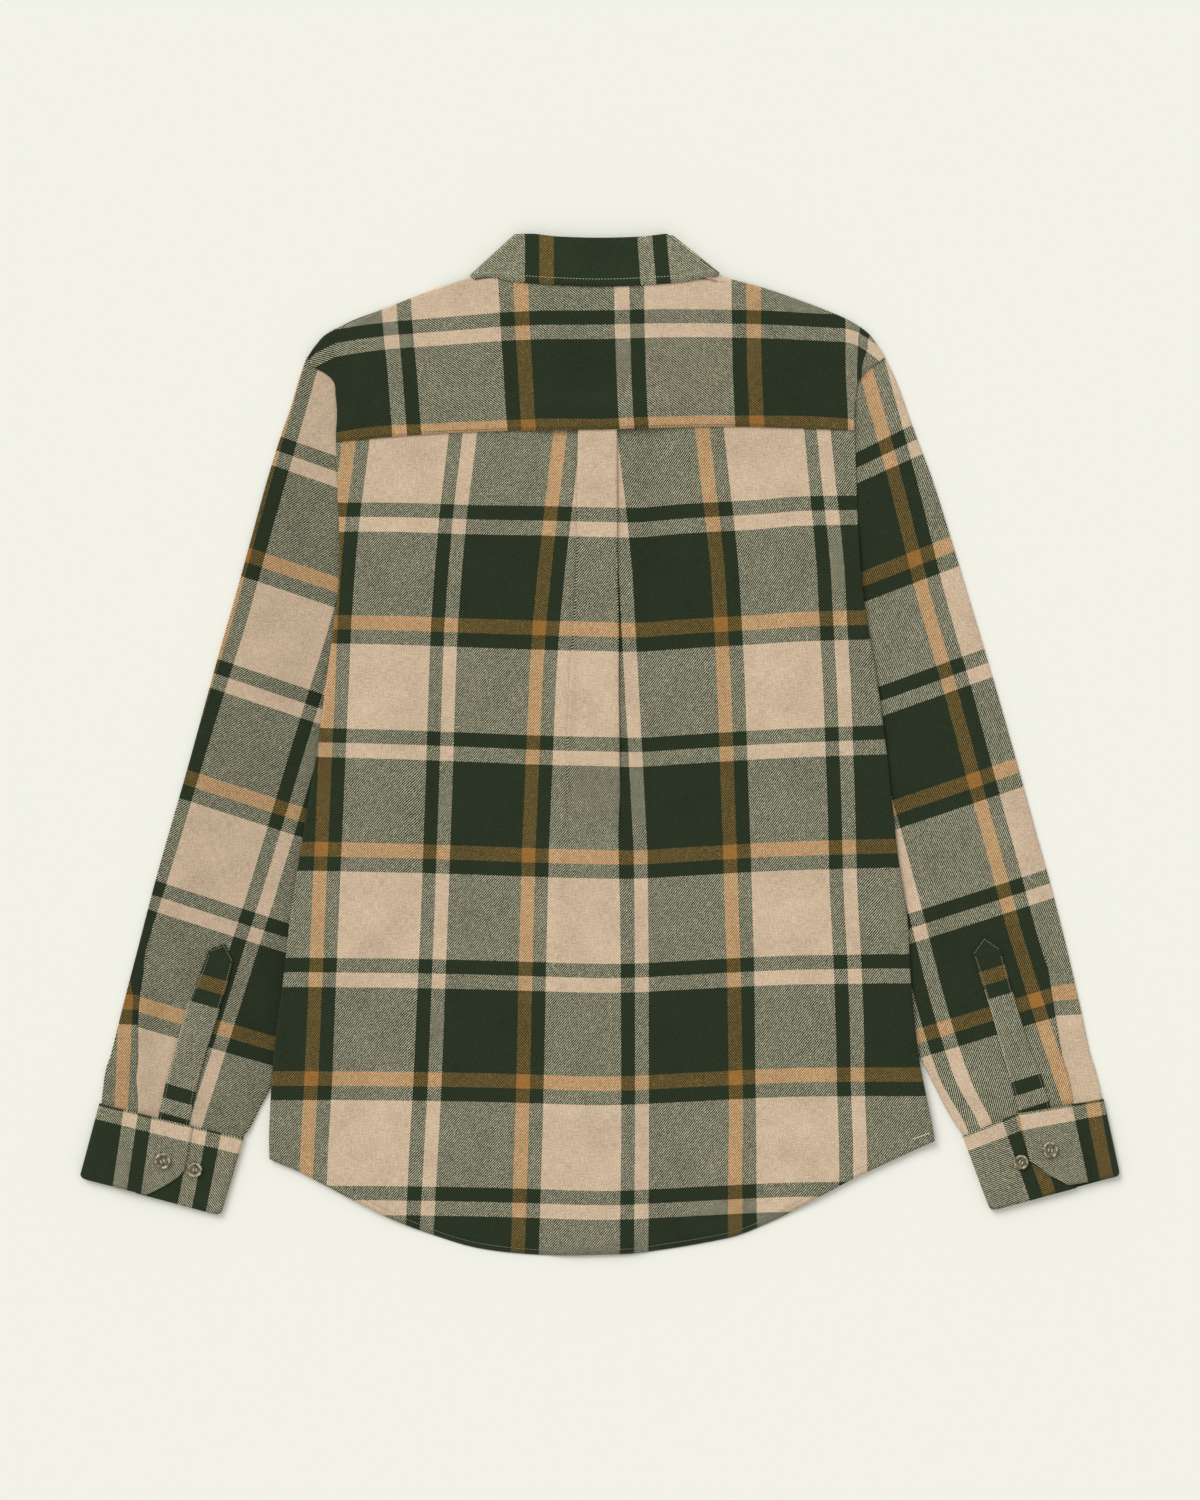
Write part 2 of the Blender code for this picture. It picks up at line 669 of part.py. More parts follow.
def sleeve(name, sections, cuff):
    """A flattened tube that is open along the armhole and closed by its seam below."""
    radius = SLEEVE_LOFT / 2
    rows = []
    cuff_outer, cuff_inner, along, to_hand = cuff_lines(cuff)
    ends = [(cuff_outer + to_hand * past + along * outer_in,
             cuff_inner + to_hand * past - along * inner_in, 1.0, PLEAT_AT_CUFF, rise)
            for past, outer_in, inner_in, rise in zip(*SLEEVE_END.values())]
    for outer, inner, closed, pleat_in, pleat_rise in sleeve_sections(sections) + ends:
        width = (inner - outer).length
        across = unit(inner - outer)
        base = TABLE + radius
        skin = radius + CLOTH / 2
        start = skin
        stop = width - skin
        upper = []
        for degrees, lie in ((14, 0.0), (50, 1.0), (90, 2.0)):
            angle = math.radians(degrees)
            fold = (stop + radius * math.cos(angle), radius * math.sin(angle))
            flat = (width - radius * lie, radius)
            upper.append((mix(flat[0], fold[0], closed), mix(flat[1], fold[1], closed)))
        lower = [(place, -rise) for place, rise in upper]
        lower += [(mix(stop, start, k / 5), -radius) for k in (1, 2, 3, 4)]
        foot = min(pleat_in + PLEAT_WIDTH, 0.5 * width)
        upper += [(mix(stop, foot, k / 3), radius) for k in (1, 2, 3)]
        upper += [(pleat_in + 2.5, radius + pleat_rise), (pleat_in - 0.5, radius)]
        outer_fold = [(start - radius * math.sin(math.radians(d)), radius * math.cos(
            math.radians(d))) for d in (0, 45, 90, 135, 180)]
        row = []
        for place, rise in upper + outer_fold + lower[::-1]:
            point = outer + across * place
            climb = cuff_entry(point, cuff)
            point.z = base + rise + climb
            row.append(point)
        rows.append(row)
    cloth(name, rows, MIXED)


def placket(name, shape, cuff):
    """A pointed strip on the upper side of the sleeve."""
    lines = []
    for row in zip(*(shape[key] for key in
                     ("left_x", "left_y", "mid_x", "mid_y", "right_x", "right_y"))):
        lines.append([plan(*row[0:2]), plan(*row[2:4]), plan(*row[4:6])])
    rows = []
    for first, second in zip(lines, lines[1:]):
        rows += [[a.lerp(b, t) for a, b in zip(first, second)] for t in (0, 0.5)]
    rows.append(lines[-1])
    for row in rows:
        for point in row:
            point.z = TABLE + SLEEVE_LOFT + LAYER + PLACKET_RISE + cuff_entry(point, cuff)
    cloth(name, rows, GREEN)


def cuff(name, shape):
    """A band that wraps the end of the sleeve, with one mitred end lying on the other."""
    radius = CUFF_LOFT / 2
    skin = radius + CLOTH / 2
    rows = []
    for v in (0, 0.27, TAB_CORNER_AT, 0.78, 1):
        outer = plan(*shape["outer_top"]).lerp(plan(*shape["outer_low"]), v)
        inner = plan(*shape["inner_top"]).lerp(plan(*shape["inner_low"]), v)
        width = (inner - outer).length
        across = unit(inner - outer)
        mitre = max(0.0, (v - TAB_CORNER_AT) / (1 - TAB_CORNER_AT))
        tab_end = mix(shape["tab_top"], shape["tab_corner"], min(v / TAB_CORNER_AT, 1.0))
        tab_end = mix(tab_end, shape["tab_mitre"], mitre) * width
        path = [(mix(shape["under_end"] * width, width - skin, k / 4), radius)
                for k in range(4)]
        path += [(width - skin + radius * math.sin(math.radians(d)), radius * math.cos(
            math.radians(d))) for d in (0, 45, 90, 135, 180)]
        path += [(mix(width - skin, skin, k / 4), -radius) for k in (1, 2, 3)]
        path += [(skin - radius * math.sin(math.radians(d)), -radius * math.cos(
            math.radians(d))) for d in (0, 45, 90, 135, 180)]
        climb_start = 0.22 * width
        climb_end = shape["under_end"] * width - 12
        path.append((climb_start, radius))
        for k in (1, 2, 3):
            path.append((mix(climb_start, climb_end, k / 3), radius + LAYER * ease(k / 3)))
        path += [(mix(climb_end, tab_end, k / 4), radius + LAYER) for k in (1, 2, 3, 4)]
        row = []
        for place, rise in path:
            point = outer + across * place
            point.z = TABLE + radius + rise
            row.append(point)
        rows.append(row)
    cloth(name, rows, MIXED)


# Collar

def ring(side_rows, start_z, end_z, names, turn_inset, end_lift):
    """Sections of a flattened ring: (upper point, lower point) pairs from end to end.

    The ring starts at the centre front on the left, passes behind the neck and ends at the
    centre front on the right. start_z is the height of its front halves, end_z of its back.
    """
    upper_x, upper_y, lower_x, lower_y = names
    radius = (end_z - start_z) / 2
    halves = []
    for sign, side_row in ((-1, 0), (1, 1)):
        half = []
        for k in range(len(COLLAR[upper_x])):
            lift = end_lift if sign > 0 and k < 3 else 0.0
            half.append([plan(sign * COLLAR[a][k], COLLAR[b][k], start_z + lift)
                         for a, b in ((upper_x, upper_y), (lower_x, lower_y))])
        upper = plan(side_rows[upper_x][side_row], side_rows[upper_y][side_row])
        lower = plan(side_rows[lower_x][side_row], side_rows[lower_y][side_row])
        line = unit(upper - lower)
        outward = plan(-line.y, line.x) if sign < 0 else plan(line.y, -line.x)
        for degrees in (-90, -45, 0, 45, 90):
            angle = math.radians(degrees)
            shift = outward * (radius * math.cos(angle) - turn_inset)
            height = plan(0, 0, (start_z + end_z) / 2 + radius * math.sin(angle))
            half.append([upper + shift + height, lower + shift + height])
        for k in range(len(COLLAR_BACK[upper_x]) - 1):
            half.append([plan(sign * COLLAR_BACK[a][k], COLLAR_BACK[b][k], end_z)
                         for a, b in ((upper_x, upper_y), (lower_x, lower_y))])
        halves.append(half)
    middle = [plan(COLLAR_BACK[a][-1], COLLAR_BACK[b][-1], end_z)
              for a, b in ((upper_x, upper_y), (lower_x, lower_y))]
    return halves[0] + [middle] + halves[1][::-1]


def collar_fall():
    """The collar's outer leaf, which turns in over its top fold by a narrow lip."""
    radius = (COLLAR_TOP_Z - TABLE) / 2
    sections = ring(COLLAR_SIDE, TABLE, COLLAR_TOP_Z, ("fold_x", "fold_y", "edge_x", "edge_y"),
                    radius + CLOTH / 2, 0.0)
    uppers = [upper for upper, _ in sections]
    last = len(uppers) - 1
    turn = LAYER / 2
    lines = []
    for k, (upper, lower) in enumerate(sections):
        down = unit(lower - upper)
        around = unit(uppers[min(k + 1, last)] - uppers[max(k - 1, 0)])
        inside = unit(around.cross(down))
        top = upper + down * turn
        line = [top + down * LIP + inside * LAYER]
        for degrees in (90, 45, 0, -45, -90):
            angle = math.radians(degrees)
            line.append(top + inside * turn * (1 + math.sin(angle)) - down * turn * math.cos(angle))
        line += [top.lerp(lower, t) for t in (0.33, 0.66, 1.0)]
        lines.append(line)
    cloth("collar_fall", [list(row) for row in zip(*lines)], GREEN)


def collar_stand():
    """The band inside the collar, buttoned at the centre front."""
    sections = ring(COLLAR_SIDE, STAND_FRONT_Z, STAND_BACK_Z,
                    ("stand_x", "stand_y", "seam_x", "seam_y"), 3.4, LAYER)
    lines = [[upper.lerp(lower, t) for t in (0, 0.5, 1)] for upper, lower in sections]
    cloth("collar_stand", [list(row) for row in zip(*lines)], MIXED)


# Buttons

def button(name, x, y, low_z, thick, diameter, face_up):
    """A turned button with a rim round a shallow face, rounded at its edge."""
    radius = diameter / 2
    profile = ((0.0, 0.0), (0.72, 0.0), (0.93, 0.12), (1.0, 0.42), (0.97, 0.82), (0.88, 1.0),
               (0.72, 1.0), (0.6, 0.72), (0.0, 0.66))
    sides = 14
    shape = bmesh.new()
    rings = []
    for share, rise in profile:
        height = rise * thick if face_up else (1 - rise) * thick
        if share == 0.0:
            rings.append([shape.verts.new(plan(x, y, low_z + height) * MM)])
            continue
        rings.append([shape.verts.new(plan(
            x + radius * share * math.cos(2 * math.pi * k / sides),
            y + radius * share * math.sin(2 * math.pi * k / sides), low_z + height) * MM)
            for k in range(sides)])
    for low, high in zip(rings, rings[1:]):
        for k in range(sides):
            loop = [low[k % len(low)], low[(k + 1) % len(low)], high[(k + 1) % len(high)],
                    high[k % len(high)]]
            shape.faces.new([v for i, v in enumerate(loop) if v not in loop[:i]])
    add_object(name, shape, RESIN, 0.3)


def buttons():
    for k in range(FRONT_BUTTONS):
        button(f"front_button_{k + 1}", 0.0, FIRST_BUTTON_Y - k * BUTTON_SPACING, 0.0,
               BUTTON_THICK, FRONT_BUTTON_DIA, False)
    button("collar_button", 0.0, COLLAR_BUTTON_Y, STAND_FRONT_Z - TABLE - SEAM - BUTTON_THICK,
           BUTTON_THICK, FRONT_BUTTON_DIA, False)
    under = TABLE + CUFF_LOFT + CLOTH / 2 + SEAM
    for side, shape in (("left", LEFT_CUFF), ("right", RIGHT_CUFF)):
        button(f"cuff_button_{side}", *shape["button"], under + LAYER, CUFF_BUTTON_THICK,
               CUFF_BUTTON_DIA, True)
        button(f"cuff_link_button_{side}", *shape["link_button"], under, CUFF_BUTTON_THICK,
               LINK_BUTTON_DIA, True)


def build():
    for thing in list(bpy.data.objects):
        bpy.data.objects.remove(thing, do_unlink=True)
    back_panel()
    back_yoke()
    front("front_left", -1, 0.0)
    front("front_right", 1, LAYER)
    collar_fall()
    collar_stand()
    sleeve("sleeve_left", LEFT_SLEEVE, LEFT_CUFF)
    sleeve("sleeve_right", RIGHT_SLEEVE, RIGHT_CUFF)
    cuff("cuff_left", LEFT_CUFF)
    cuff("cuff_right", RIGHT_CUFF)
    placket("sleeve_placket_left", LEFT_PLACKET, LEFT_CUFF)
    placket("sleeve_placket_right", RIGHT_PLACKET, RIGHT_CUFF)
    buttons()


build()
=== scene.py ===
# %% [markdown]
# # A plaid flannel shirt, buttoned up and laid flat on its front
# Each sewn piece is a thin closed sheet of cloth on a fine grid of points. Every point also
# knows its place (u, v) in the cloth that it was cut from, so one plaid serves all pieces.
# Lengths are in millimetres and become metres when a mesh is made.

# %% Load the shared frame
import math

import bpy
import numpy as np
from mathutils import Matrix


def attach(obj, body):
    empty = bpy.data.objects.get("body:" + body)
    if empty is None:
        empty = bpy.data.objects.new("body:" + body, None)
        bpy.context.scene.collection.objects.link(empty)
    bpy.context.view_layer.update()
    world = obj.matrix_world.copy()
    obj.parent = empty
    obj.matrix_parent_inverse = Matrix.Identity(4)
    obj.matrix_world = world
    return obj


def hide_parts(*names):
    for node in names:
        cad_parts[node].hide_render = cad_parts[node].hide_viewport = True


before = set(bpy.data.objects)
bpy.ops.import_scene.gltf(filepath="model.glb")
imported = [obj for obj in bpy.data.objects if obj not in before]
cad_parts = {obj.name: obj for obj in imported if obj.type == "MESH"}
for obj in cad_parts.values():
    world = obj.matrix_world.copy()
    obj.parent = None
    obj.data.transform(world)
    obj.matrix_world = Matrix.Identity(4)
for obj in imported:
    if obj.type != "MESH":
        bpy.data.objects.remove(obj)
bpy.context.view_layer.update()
print("frame loaded with", len(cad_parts), "nodes")

MM = 0.001


# %% [markdown]
# ## Tables and smooth curves
# A garment is drafted from a few measured places with smooth curves between them. A short
# table holds the places, and one function reads the curve through them.

# %% Read a table on a smooth curve
def columns_of(names, rows):
    """One array for each named column of a list of rows."""
    return dict(zip(names.split(), np.array(rows, float).T))


def table(names, text):
    """A small table: commas part its rows, and spaces part the numbers of a row."""
    return columns_of(names, [row.split() for row in text.split(",")])


def mix(a, b, t):
    return a + (b - a) * t


def curve(keys, values, at):
    """Values at places between rising keys, on a smooth curve through all of them."""
    at = np.clip(at, keys[0], keys[-1])
    i = np.clip(np.searchsorted(keys, at, side="right") - 1, 0, len(keys) - 2)
    places = np.arange(len(keys))
    low, high = np.maximum(places - 1, 0), np.minimum(places + 1, len(keys) - 1)
    more = (1,) * (values.ndim - 1)
    slopes = (values[high] - values[low]) / (keys[high] - keys[low]).reshape(-1, *more)
    span = np.reshape(keys[i + 1] - keys[i], np.shape(at) + more)
    t = np.reshape(at - keys[i], span.shape) / span
    swing = slopes[i] * (t ** 3 - 2 * t ** 2 + t) + slopes[i + 1] * (t ** 3 - t ** 2)
    return mix(values[i], values[i + 1], 3 * t ** 2 - 2 * t ** 3) + span * swing


def rising(columns, key, name):
    """Two columns of a table in the order in which the first one rises."""
    way = 1 if columns[key][0] < columns[key][-1] else -1
    return columns[key][::way], columns[name][::way]


def read(columns, name, key, at):
    return curve(*rising(columns, key, name), at)


def line(columns, name, key, at):
    """Value of one column on straight lines, which go on past the first and last rows."""
    keys, values = rising(columns, key, name)
    i = np.clip(np.searchsorted(keys, at, side="right") - 1, 0, len(keys) - 2)
    return mix(values[i], values[i + 1], (at - keys[i]) / (keys[i + 1] - keys[i]))


def side_edge(columns, x, y):
    """How far from the centre an edge lies, on the side of x."""
    return np.where(x < 0, -read(columns, "left", "y", y), read(columns, "right", "y", y))


def ease(value):
    """0 below 0, 1 above 1 and a smooth rise between.

    So ease((limit - y) / width) is 1 up to a width before the limit and fades to 0 there.
    """
    value = np.clip(value, 0.0, 1.0)
    return value * value * (3 - 2 * value)


def unit(vector):
    return vector / np.maximum(np.linalg.norm(vector, axis=-1, keepdims=True), 1e-9)


def walked(points, axis=0):
    """Length from the first point to each one, along an axis of a grid."""
    steps = np.linalg.norm(np.diff(points, axis=axis), axis=-1)
    return np.insert(np.cumsum(steps, axis=axis), 0, 0.0, axis=axis)


# %% [markdown]
# ## Camera
# The shirt is seen from straight above. A long lens a few metres up keeps the hem and the
# collar at the same scale.

# %% Camera above the shirt
VIEW_HEIGHT = 3.0      # metres above the table
VIEW_LENGTH = 1.2      # metres of table from the top of the picture to its foot
VIEW_CENTRE_Y = -0.0044
SENSOR = 36.0


def placed(name, data):
    """A new object of the scene."""
    made = bpy.data.objects.new(name, data)
    bpy.context.scene.collection.objects.link(made)
    return made


camera = placed("camera", bpy.data.cameras.new("camera"))
camera.data.sensor_fit = "VERTICAL"
camera.data.sensor_height = camera.data.sensor_width = SENSOR
camera.data.lens = SENSOR * VIEW_HEIGHT / VIEW_LENGTH
camera.location = (0.0, VIEW_CENTRE_Y, VIEW_HEIGHT)
bpy.context.scene.camera = camera
print("camera lens", round(camera.data.lens, 1), "mm")


# %% [markdown]
# ## Node maths
# A plaid is a rule on numbers, so its material is written as formulas. This class wraps one
# output of a node: maths on it adds the nodes that work it out.

# %% One wire of a node tree
class Wire:
    """An output of a node, for use in plain expressions."""

    def __init__(self, tree, socket=None):
        self.tree = tree
        self.socket = socket

    def feed(self, node, values):
        """Give inputs of a node their values or wires."""
        for key, value in values.items():
            if isinstance(value, Wire):
                self.tree.links.new(value.socket, node.inputs[key])
            else:
                node.inputs[key].default_value = value

    def node(self, kind, values, output=0, **settings):
        """Add a node: its settings first, then its inputs."""
        made = self.tree.nodes.new(kind)
        for key, value in settings.items():
            setattr(made, key, value)
        self.feed(made, values)
        return Wire(self.tree, made.outputs[output])

    def math(self, operation, *values):
        return self.node("ShaderNodeMath", dict(enumerate(values)), operation=operation)

    def noise(self, place, scale, detail, roughness):
        return self.node("ShaderNodeTexNoise", {"Vector": place, "Scale": scale, "Detail": detail,
                                                "Roughness": roughness}, noise_dimensions="2D")

    def slub(self, u, v, across, along):
        """Streaks that are fine across one set of yarns and long along it."""
        place = self.node("ShaderNodeCombineXYZ", {0: u * across, 1: v * along})
        return self.noise(place, 1.0, 1.0, 0.5)

    def blend(self, share, first, second, way="MIX"):
        """Colour that goes from the first to the second as share goes from 0 to 1."""
        return self.node("ShaderNodeMix", {0: share, 6: first, 7: second}, 2,
                         data_type="RGBA", blend_type=way)


def sign(operation, swapped=False):
    """What an arithmetic sign does between two wires, or a wire and a number."""
    def work(self, other):
        return self.math(operation, *((other, self) if swapped else (self, other)))
    return work


Wire.__add__ = Wire.__radd__ = sign("ADD")
Wire.__mul__ = Wire.__rmul__ = sign("MULTIPLY")
Wire.__sub__, Wire.__rsub__ = sign("SUBTRACT"), sign("SUBTRACT", True)
Wire.__mod__ = sign("FLOORED_MODULO")
Wire.__gt__ = sign("GREATER_THAN")
Wire.__lt__ = sign("LESS_THAN")


def material(name, recipe):
    """A material. Its recipe gives the inputs of the shader, from the tree's first wire."""
    made = bpy.data.materials.new(name)
    made.use_nodes = True
    start = Wire(made.node_tree)
    start.feed(made.node_tree.nodes["Principled BSDF"], recipe(start))
    return made


# %% [markdown]
# ## The plaid
# Flannel is a twill of yarns that were dyed before weaving. The warp has one order of
# stripes and the weft another, and each thread passes over two and under two. So a place in
# the cloth shows its warp colour or its weft colour by turns along diagonal lines. The
# material does the same: it works out both colours from (u, v), and the diagonal picks one.

# %% Yarn colours and the order of the stripes
def linear(red, green, blue):
    """A colour that is given as a screen shows it, as the shader wants it."""
    return tuple((c / 255 / 12.92) if c <= 10 else ((c / 255 + 0.055) / 1.055) ** 2.4
                 for c in (red, green, blue)) + (1.0,)


GREEN = linear(34, 46, 29)
BEIGE = linear(206, 183, 156)
ORANGE = linear(154, 107, 50)
NAP = linear(150, 150, 128)
CROSS_TINT = (0.96, 1.15, 1.16, 1.0)   # pale yarn looks cooler under the nap of dark yarn
SUNNY_TINT = (1.05, 1.0, 0.86, 1.0)    # orange yarn over beige glows a little

# Where each stripe of one repeat ends. Stripes that aren't listed are green.
WARP_REPEAT = 169.7
WARP_BEIGE = ((0.0, 64.0), (75.0, 86.0))
WARP_ORANGE = (147.6, 158.6)
WEFT_REPEAT = 182.1
WEFT_BEIGE = ((11.5, 23.3), (113.1, 182.1))
WEFT_ORANGE = (90.1, 101.6)
WAVER = 0.6            # how far the edge of a stripe strays
TWILL_U = 1.905        # width of four warp threads
TWILL_V = 2.32         # height of four weft threads
TWILL_DEPTH = 1.6      # how clearly the diagonals show
TWILL_FUZZ = 0.65
NAP_AND_THREAD_SHADE = 0.8         # how much of the pale yarn the dark yarn hides: its nap and painted shade between threads


# %% The cloth's material
def stripes(place, repeat, beige, orange):
    """Colour of the yarn across a set of stripes, 1 where it isn't green and 1 in orange."""
    at = place % repeat
    pale, more_pale, warm = ((at > low) * (at < high) for low, high in (*beige, orange))
    pale = pale + more_pale
    return at.blend(warm, at.blend(pale, GREEN, BEIGE), ORANGE), pale + warm, warm


def flannel(start, tone):
    """tone: how light the cloth is painted; below 1 it paints shade onto a piece, above 1 it paints
    light.
    """
    cut = start.node("ShaderNodeUVMap", {}, uv_map="cut")
    place = start.node("ShaderNodeVectorMath", {0: cut, "Scale": 1 / MM}, operation="SCALE")
    u, v = (start.node("ShaderNodeSeparateXYZ", {0: place}, output) for output in (0, 1))
    waver = (start.noise(place, 0.5, 2.0, 0.5) - 0.5) * WAVER
    warp, pale_warp, warm_warp = stripes(u + waver, WARP_REPEAT, WARP_BEIGE, WARP_ORANGE)
    weft, pale_weft, warm_weft = stripes(v + waver, WEFT_REPEAT, WEFT_BEIGE, WEFT_ORANGE)
    fuzz = (start.noise(place, 0.9, 2.0, 0.6) - 0.5) * TWILL_FUZZ
    twill = start.math("SINE", (u * (1 / TWILL_U) + v * (1 / TWILL_V) + fuzz) * math.tau)
    contrast = pale_warp - pale_weft
    # Where the two yarns differ the dark one shows more than half, partly from its nap and partly as
    # painted shade between the threads.
    over = start.node("ShaderNodeClamp", {0: twill * TWILL_DEPTH - contrast * NAP_AND_THREAD_SHADE + 0.5})
    lone = warm_warp - warm_weft
    sunny = lone * lone * pale_warp * pale_weft
    woven = start.blend(over, weft, warp)
    for share, tint in ((contrast * contrast, CROSS_TINT), (sunny, SUNNY_TINT)):
        woven = start.blend(share, woven, start.blend(1.0, woven, tint, "MULTIPLY"))

    # Slubs: each yarn varies along its length, and each bolt in broad soft patches
    slub = over * start.slub(u, v, 1.1, 0.16) + (1.0 - over) * start.slub(u, v, 0.16, 1.1)
    mottle = start.noise(place, 0.9, 3.0, 0.8)
    value = slub * 0.75 + mottle * 0.95 + start.noise(place, 0.035, 2.0, 0.5) * 0.3
    fibres = start.math("MAXIMUM", start.noise(place, 1.7, 2.0, 0.7) - 0.5, 0.0) * 0.42
    yarn = start.node("ShaderNodeHueSaturation", {"Color": woven, "Value": value * tone})
    bump = start.node("ShaderNodeBump", {"Strength": 0.4, "Distance": 0.0004,
                                         "Height": twill * 0.4 + mottle * 0.6})
    return {"Base Color": start.blend(fibres, yarn, NAP), "Normal": bump, "Roughness": 0.95,
            "Specular IOR Level": 0.1, "Sheen Weight": 0.08, "Sheen Roughness": 0.5,
            "Sheen Tint": (1.0, 0.97, 0.9, 1.0)}


# Two copies are darker and lighter only to paint shade and light: the darker one paints shade on the
# left sleeve, the lighter one paints light on the collar's fall.
FLANNEL, PAINTED_SHADE_FLANNEL, PAINTED_LIGHT_FLANNEL = (
    material(name, lambda start: flannel(start, tone))
    for name, tone in (("plaid_flannel", 1.0), ("plaid_flannel_painted_shade", 0.87),
                       ("plaid_flannel_painted_light", 1.18)))
print("flannel has", len(FLANNEL.node_tree.nodes), "nodes")


# %% [markdown]
# ## Sheets of cloth
# Cloth has two faces a millimetre apart. Each piece starts as a grid of points on its middle
# surface. The two faces lie half a thickness to each side, and a narrow rounded border joins
# them, so every piece is a closed body that needs no modifier.

# %% Close a grid of points into a sheet
CLOTH = 1.1            # thickness of one layer of brushed flannel
EDGE_ROUND = 0.25      # how far the border bulges between the two faces
GRIDS = {}             # the grid of every piece, for what is sewn on it later


def skins(grid):
    """The two faces of the cloth on a grid."""
    facing = unit(np.cross(grid[1:, 1:] - grid[:-1, :-1], grid[1:, :-1] - grid[:-1, 1:]))
    rows, cols = grid.shape[:2]
    total, lean, count = (np.zeros((rows, cols, depth)) for depth in (3, 1, 1))
    corners = [(slice(r, rows - 1 + r), slice(c, cols - 1 + c)) for r in (0, 1) for c in (0, 1)]
    for corner in corners:
        total[corner] += facing
        count[corner] += 1
    normal = unit(total)
    for corner in corners:
        lean[corner] += np.sum(normal[corner] * facing, axis=-1, keepdims=True)
    half = normal * (CLOTH / 2 / np.maximum(lean / count, 0.7))
    return grid + half, grid - half


def mesh_object(name, points, faces, edges=()):
    mesh = bpy.data.meshes.new(name)
    mesh.from_pydata(points, edges, faces)
    return placed(name, mesh)


def sheet_of_cloth(name, grid, cut, finish=FLANNEL):
    """A closed sheet. grid has the points; cut has each point's (u, v) in its cloth."""
    GRIDS[name] = grid
    rows, cols = grid.shape[:2]
    size = rows * cols
    number = np.arange(size).reshape(rows, cols)
    quads = np.stack([number[:-1, :-1], number[:-1, 1:], number[1:, 1:], number[1:, :-1]],
                     axis=-1).reshape(-1, 4)
    ring = np.concatenate([number[0], number[1:, -1], number[-1, -2::-1], number[-2:0:-1, 0]])
    r, c = np.divmod(ring, cols)
    rim = grid[r, c] + EDGE_ROUND * unit(
        grid[r, c] - grid[np.clip(r, 1, rows - 2), np.clip(c, 1, cols - 2)])
    rim[:, 2] = np.maximum(rim[:, 2], CLOTH / 4)
    points = np.concatenate([face.reshape(-1, 3) for face in skins(grid)] + [rim])
    points[:, 2] = np.maximum(points[:, 2], 0.0)
    bulge = 2 * size + np.arange(len(ring))
    after, bulge_after = np.roll(ring, -1), np.roll(bulge, -1)
    faces = np.concatenate([quads, quads[:, ::-1] + size,
                            np.stack([after, ring, bulge, bulge_after], axis=-1),
                            np.stack([bulge_after, bulge, ring + size, after + size], axis=-1)])
    one, two, three, four = (points[faces[:, k]] for k in range(4))
    if np.sum(one * np.cross(two, three)) + np.sum(one * np.cross(three, four)) < 0:
        faces = faces[:, ::-1]
    made = mesh_object(name, points * MM, faces.tolist())
    made.data.materials.append(finish)
    made.data.shade_smooth()
    place = np.concatenate([cut.reshape(-1, 2), cut.reshape(-1, 2), cut[r, c]]) * MM
    corner = np.empty(len(made.data.loops), np.int32)
    made.data.loops.foreach_get("vertex_index", corner)
    made.data.uv_layers.new(name="cut").data.foreach_set("uv", place[corner].ravel())
    print(name, "has", len(faces), "faces")
    return made


# %% [markdown]
# ## How the layers lie
# The shirt rests on its fronts. The back lies loosely on them, the sleeves lie beside and
# partly under the body, and the collar and the row of buttons lift what lies on them.

# %% Heights of the layers
SEAM = 0.3             # clearance between two pieces that are sewn together
LAYER = CLOTH + SEAM   # rise from one layer to the next one that lies on it
BODY_LOFT = 3.0        # rise from the fronts to the back, which lie loosely
SLEEVE_LOFT = 1.6      # rise from the under side of a sleeve to its upper side
SLEEVE_STACK = SLEEVE_LOFT + LAYER
CUFF_LOFT = SLEEVE_LOFT + 2 * LAYER
TABLE = CLOTH / 2      # middle of a layer that lies on the table
BUTTON_THICK = 2.0
STRIP_RISE = BUTTON_THICK + SEAM
BACK_STRIP_RISE = STRIP_RISE + 2 * LAYER + SEAM - BODY_LOFT
STRIP_FLAT = 20.0      # half width of the raised strip
STRIP_RAMP = 30.0
STRIP_TOP_Y = 228.0
STRIP_TOP_RAMP = 18.0
COLLAR_TOP_Z = TABLE + 5 * LAYER + 0.15
NECK_RISE = COLLAR_TOP_Z - LAYER - TABLE - BODY_LOFT
STAND_FRONT_Z = TABLE + 2 * LAYER
STAND_BACK_Z = COLLAR_TOP_Z - 2 * LAYER
SEAM_LAP = 6.0         # a seam hides this much of the lower piece
ARMHOLE_LAP = 2.0
UNDERARM_Y = 116.0
FRONT_HEM_SHORT = 5.0
NECK_CUT = 10.0

# How far in the body is lifted where it lies on each sleeve
SLEEVE_INNER = table("y left right", """
    190 -188 188, 112 -184 184, 76 -182 182, 21 -180 180, -38 -180.5 180.5, -92 -190.5 190.5,
    -145 -208 208, -198 -229 229.5, -283 -266.5 271, -340 -325 325""")
# Creases: middle, direction in degrees, half length, half width and rise
BODY_CREASES = table("x y turn long wide rise", """
    -27 -10 87 130 2.6 1.5, -22 -50 88 90 3 -1, -210.7 300 90 16 1.8 -1, -27 120 86 80 2.2 0.6,
    22 40 92 60 3 0.5, -196 268 78 26 4 0.9, -184 272 82 22 5 -0.5, 190 262 98 30 5 0.6,
    -170 60 60 44 9 0.7, 176 40 118 50 9 0.7, -60 -300 20 60 10 0.5, 90 -250 160 70 12 0.6,
    -150 -190 70 60 12 0.6, 160 -120 100 70 12 0.6""")


def strip(x):
    """1 along the centre, where the fronts overlap on their buttons."""
    return ease((STRIP_FLAT + STRIP_RAMP - np.abs(x)) / STRIP_RAMP)


def sleeve_rise(x, y):
    """Rise of the body where it lies on a sleeve."""
    across = ease((np.abs(x) - side_edge(SLEEVE_INNER, x, y) + 60.0) / 34.0)
    return SLEEVE_STACK * across * ease((UNDERARM_Y + 70.0 - y) / 32.0)


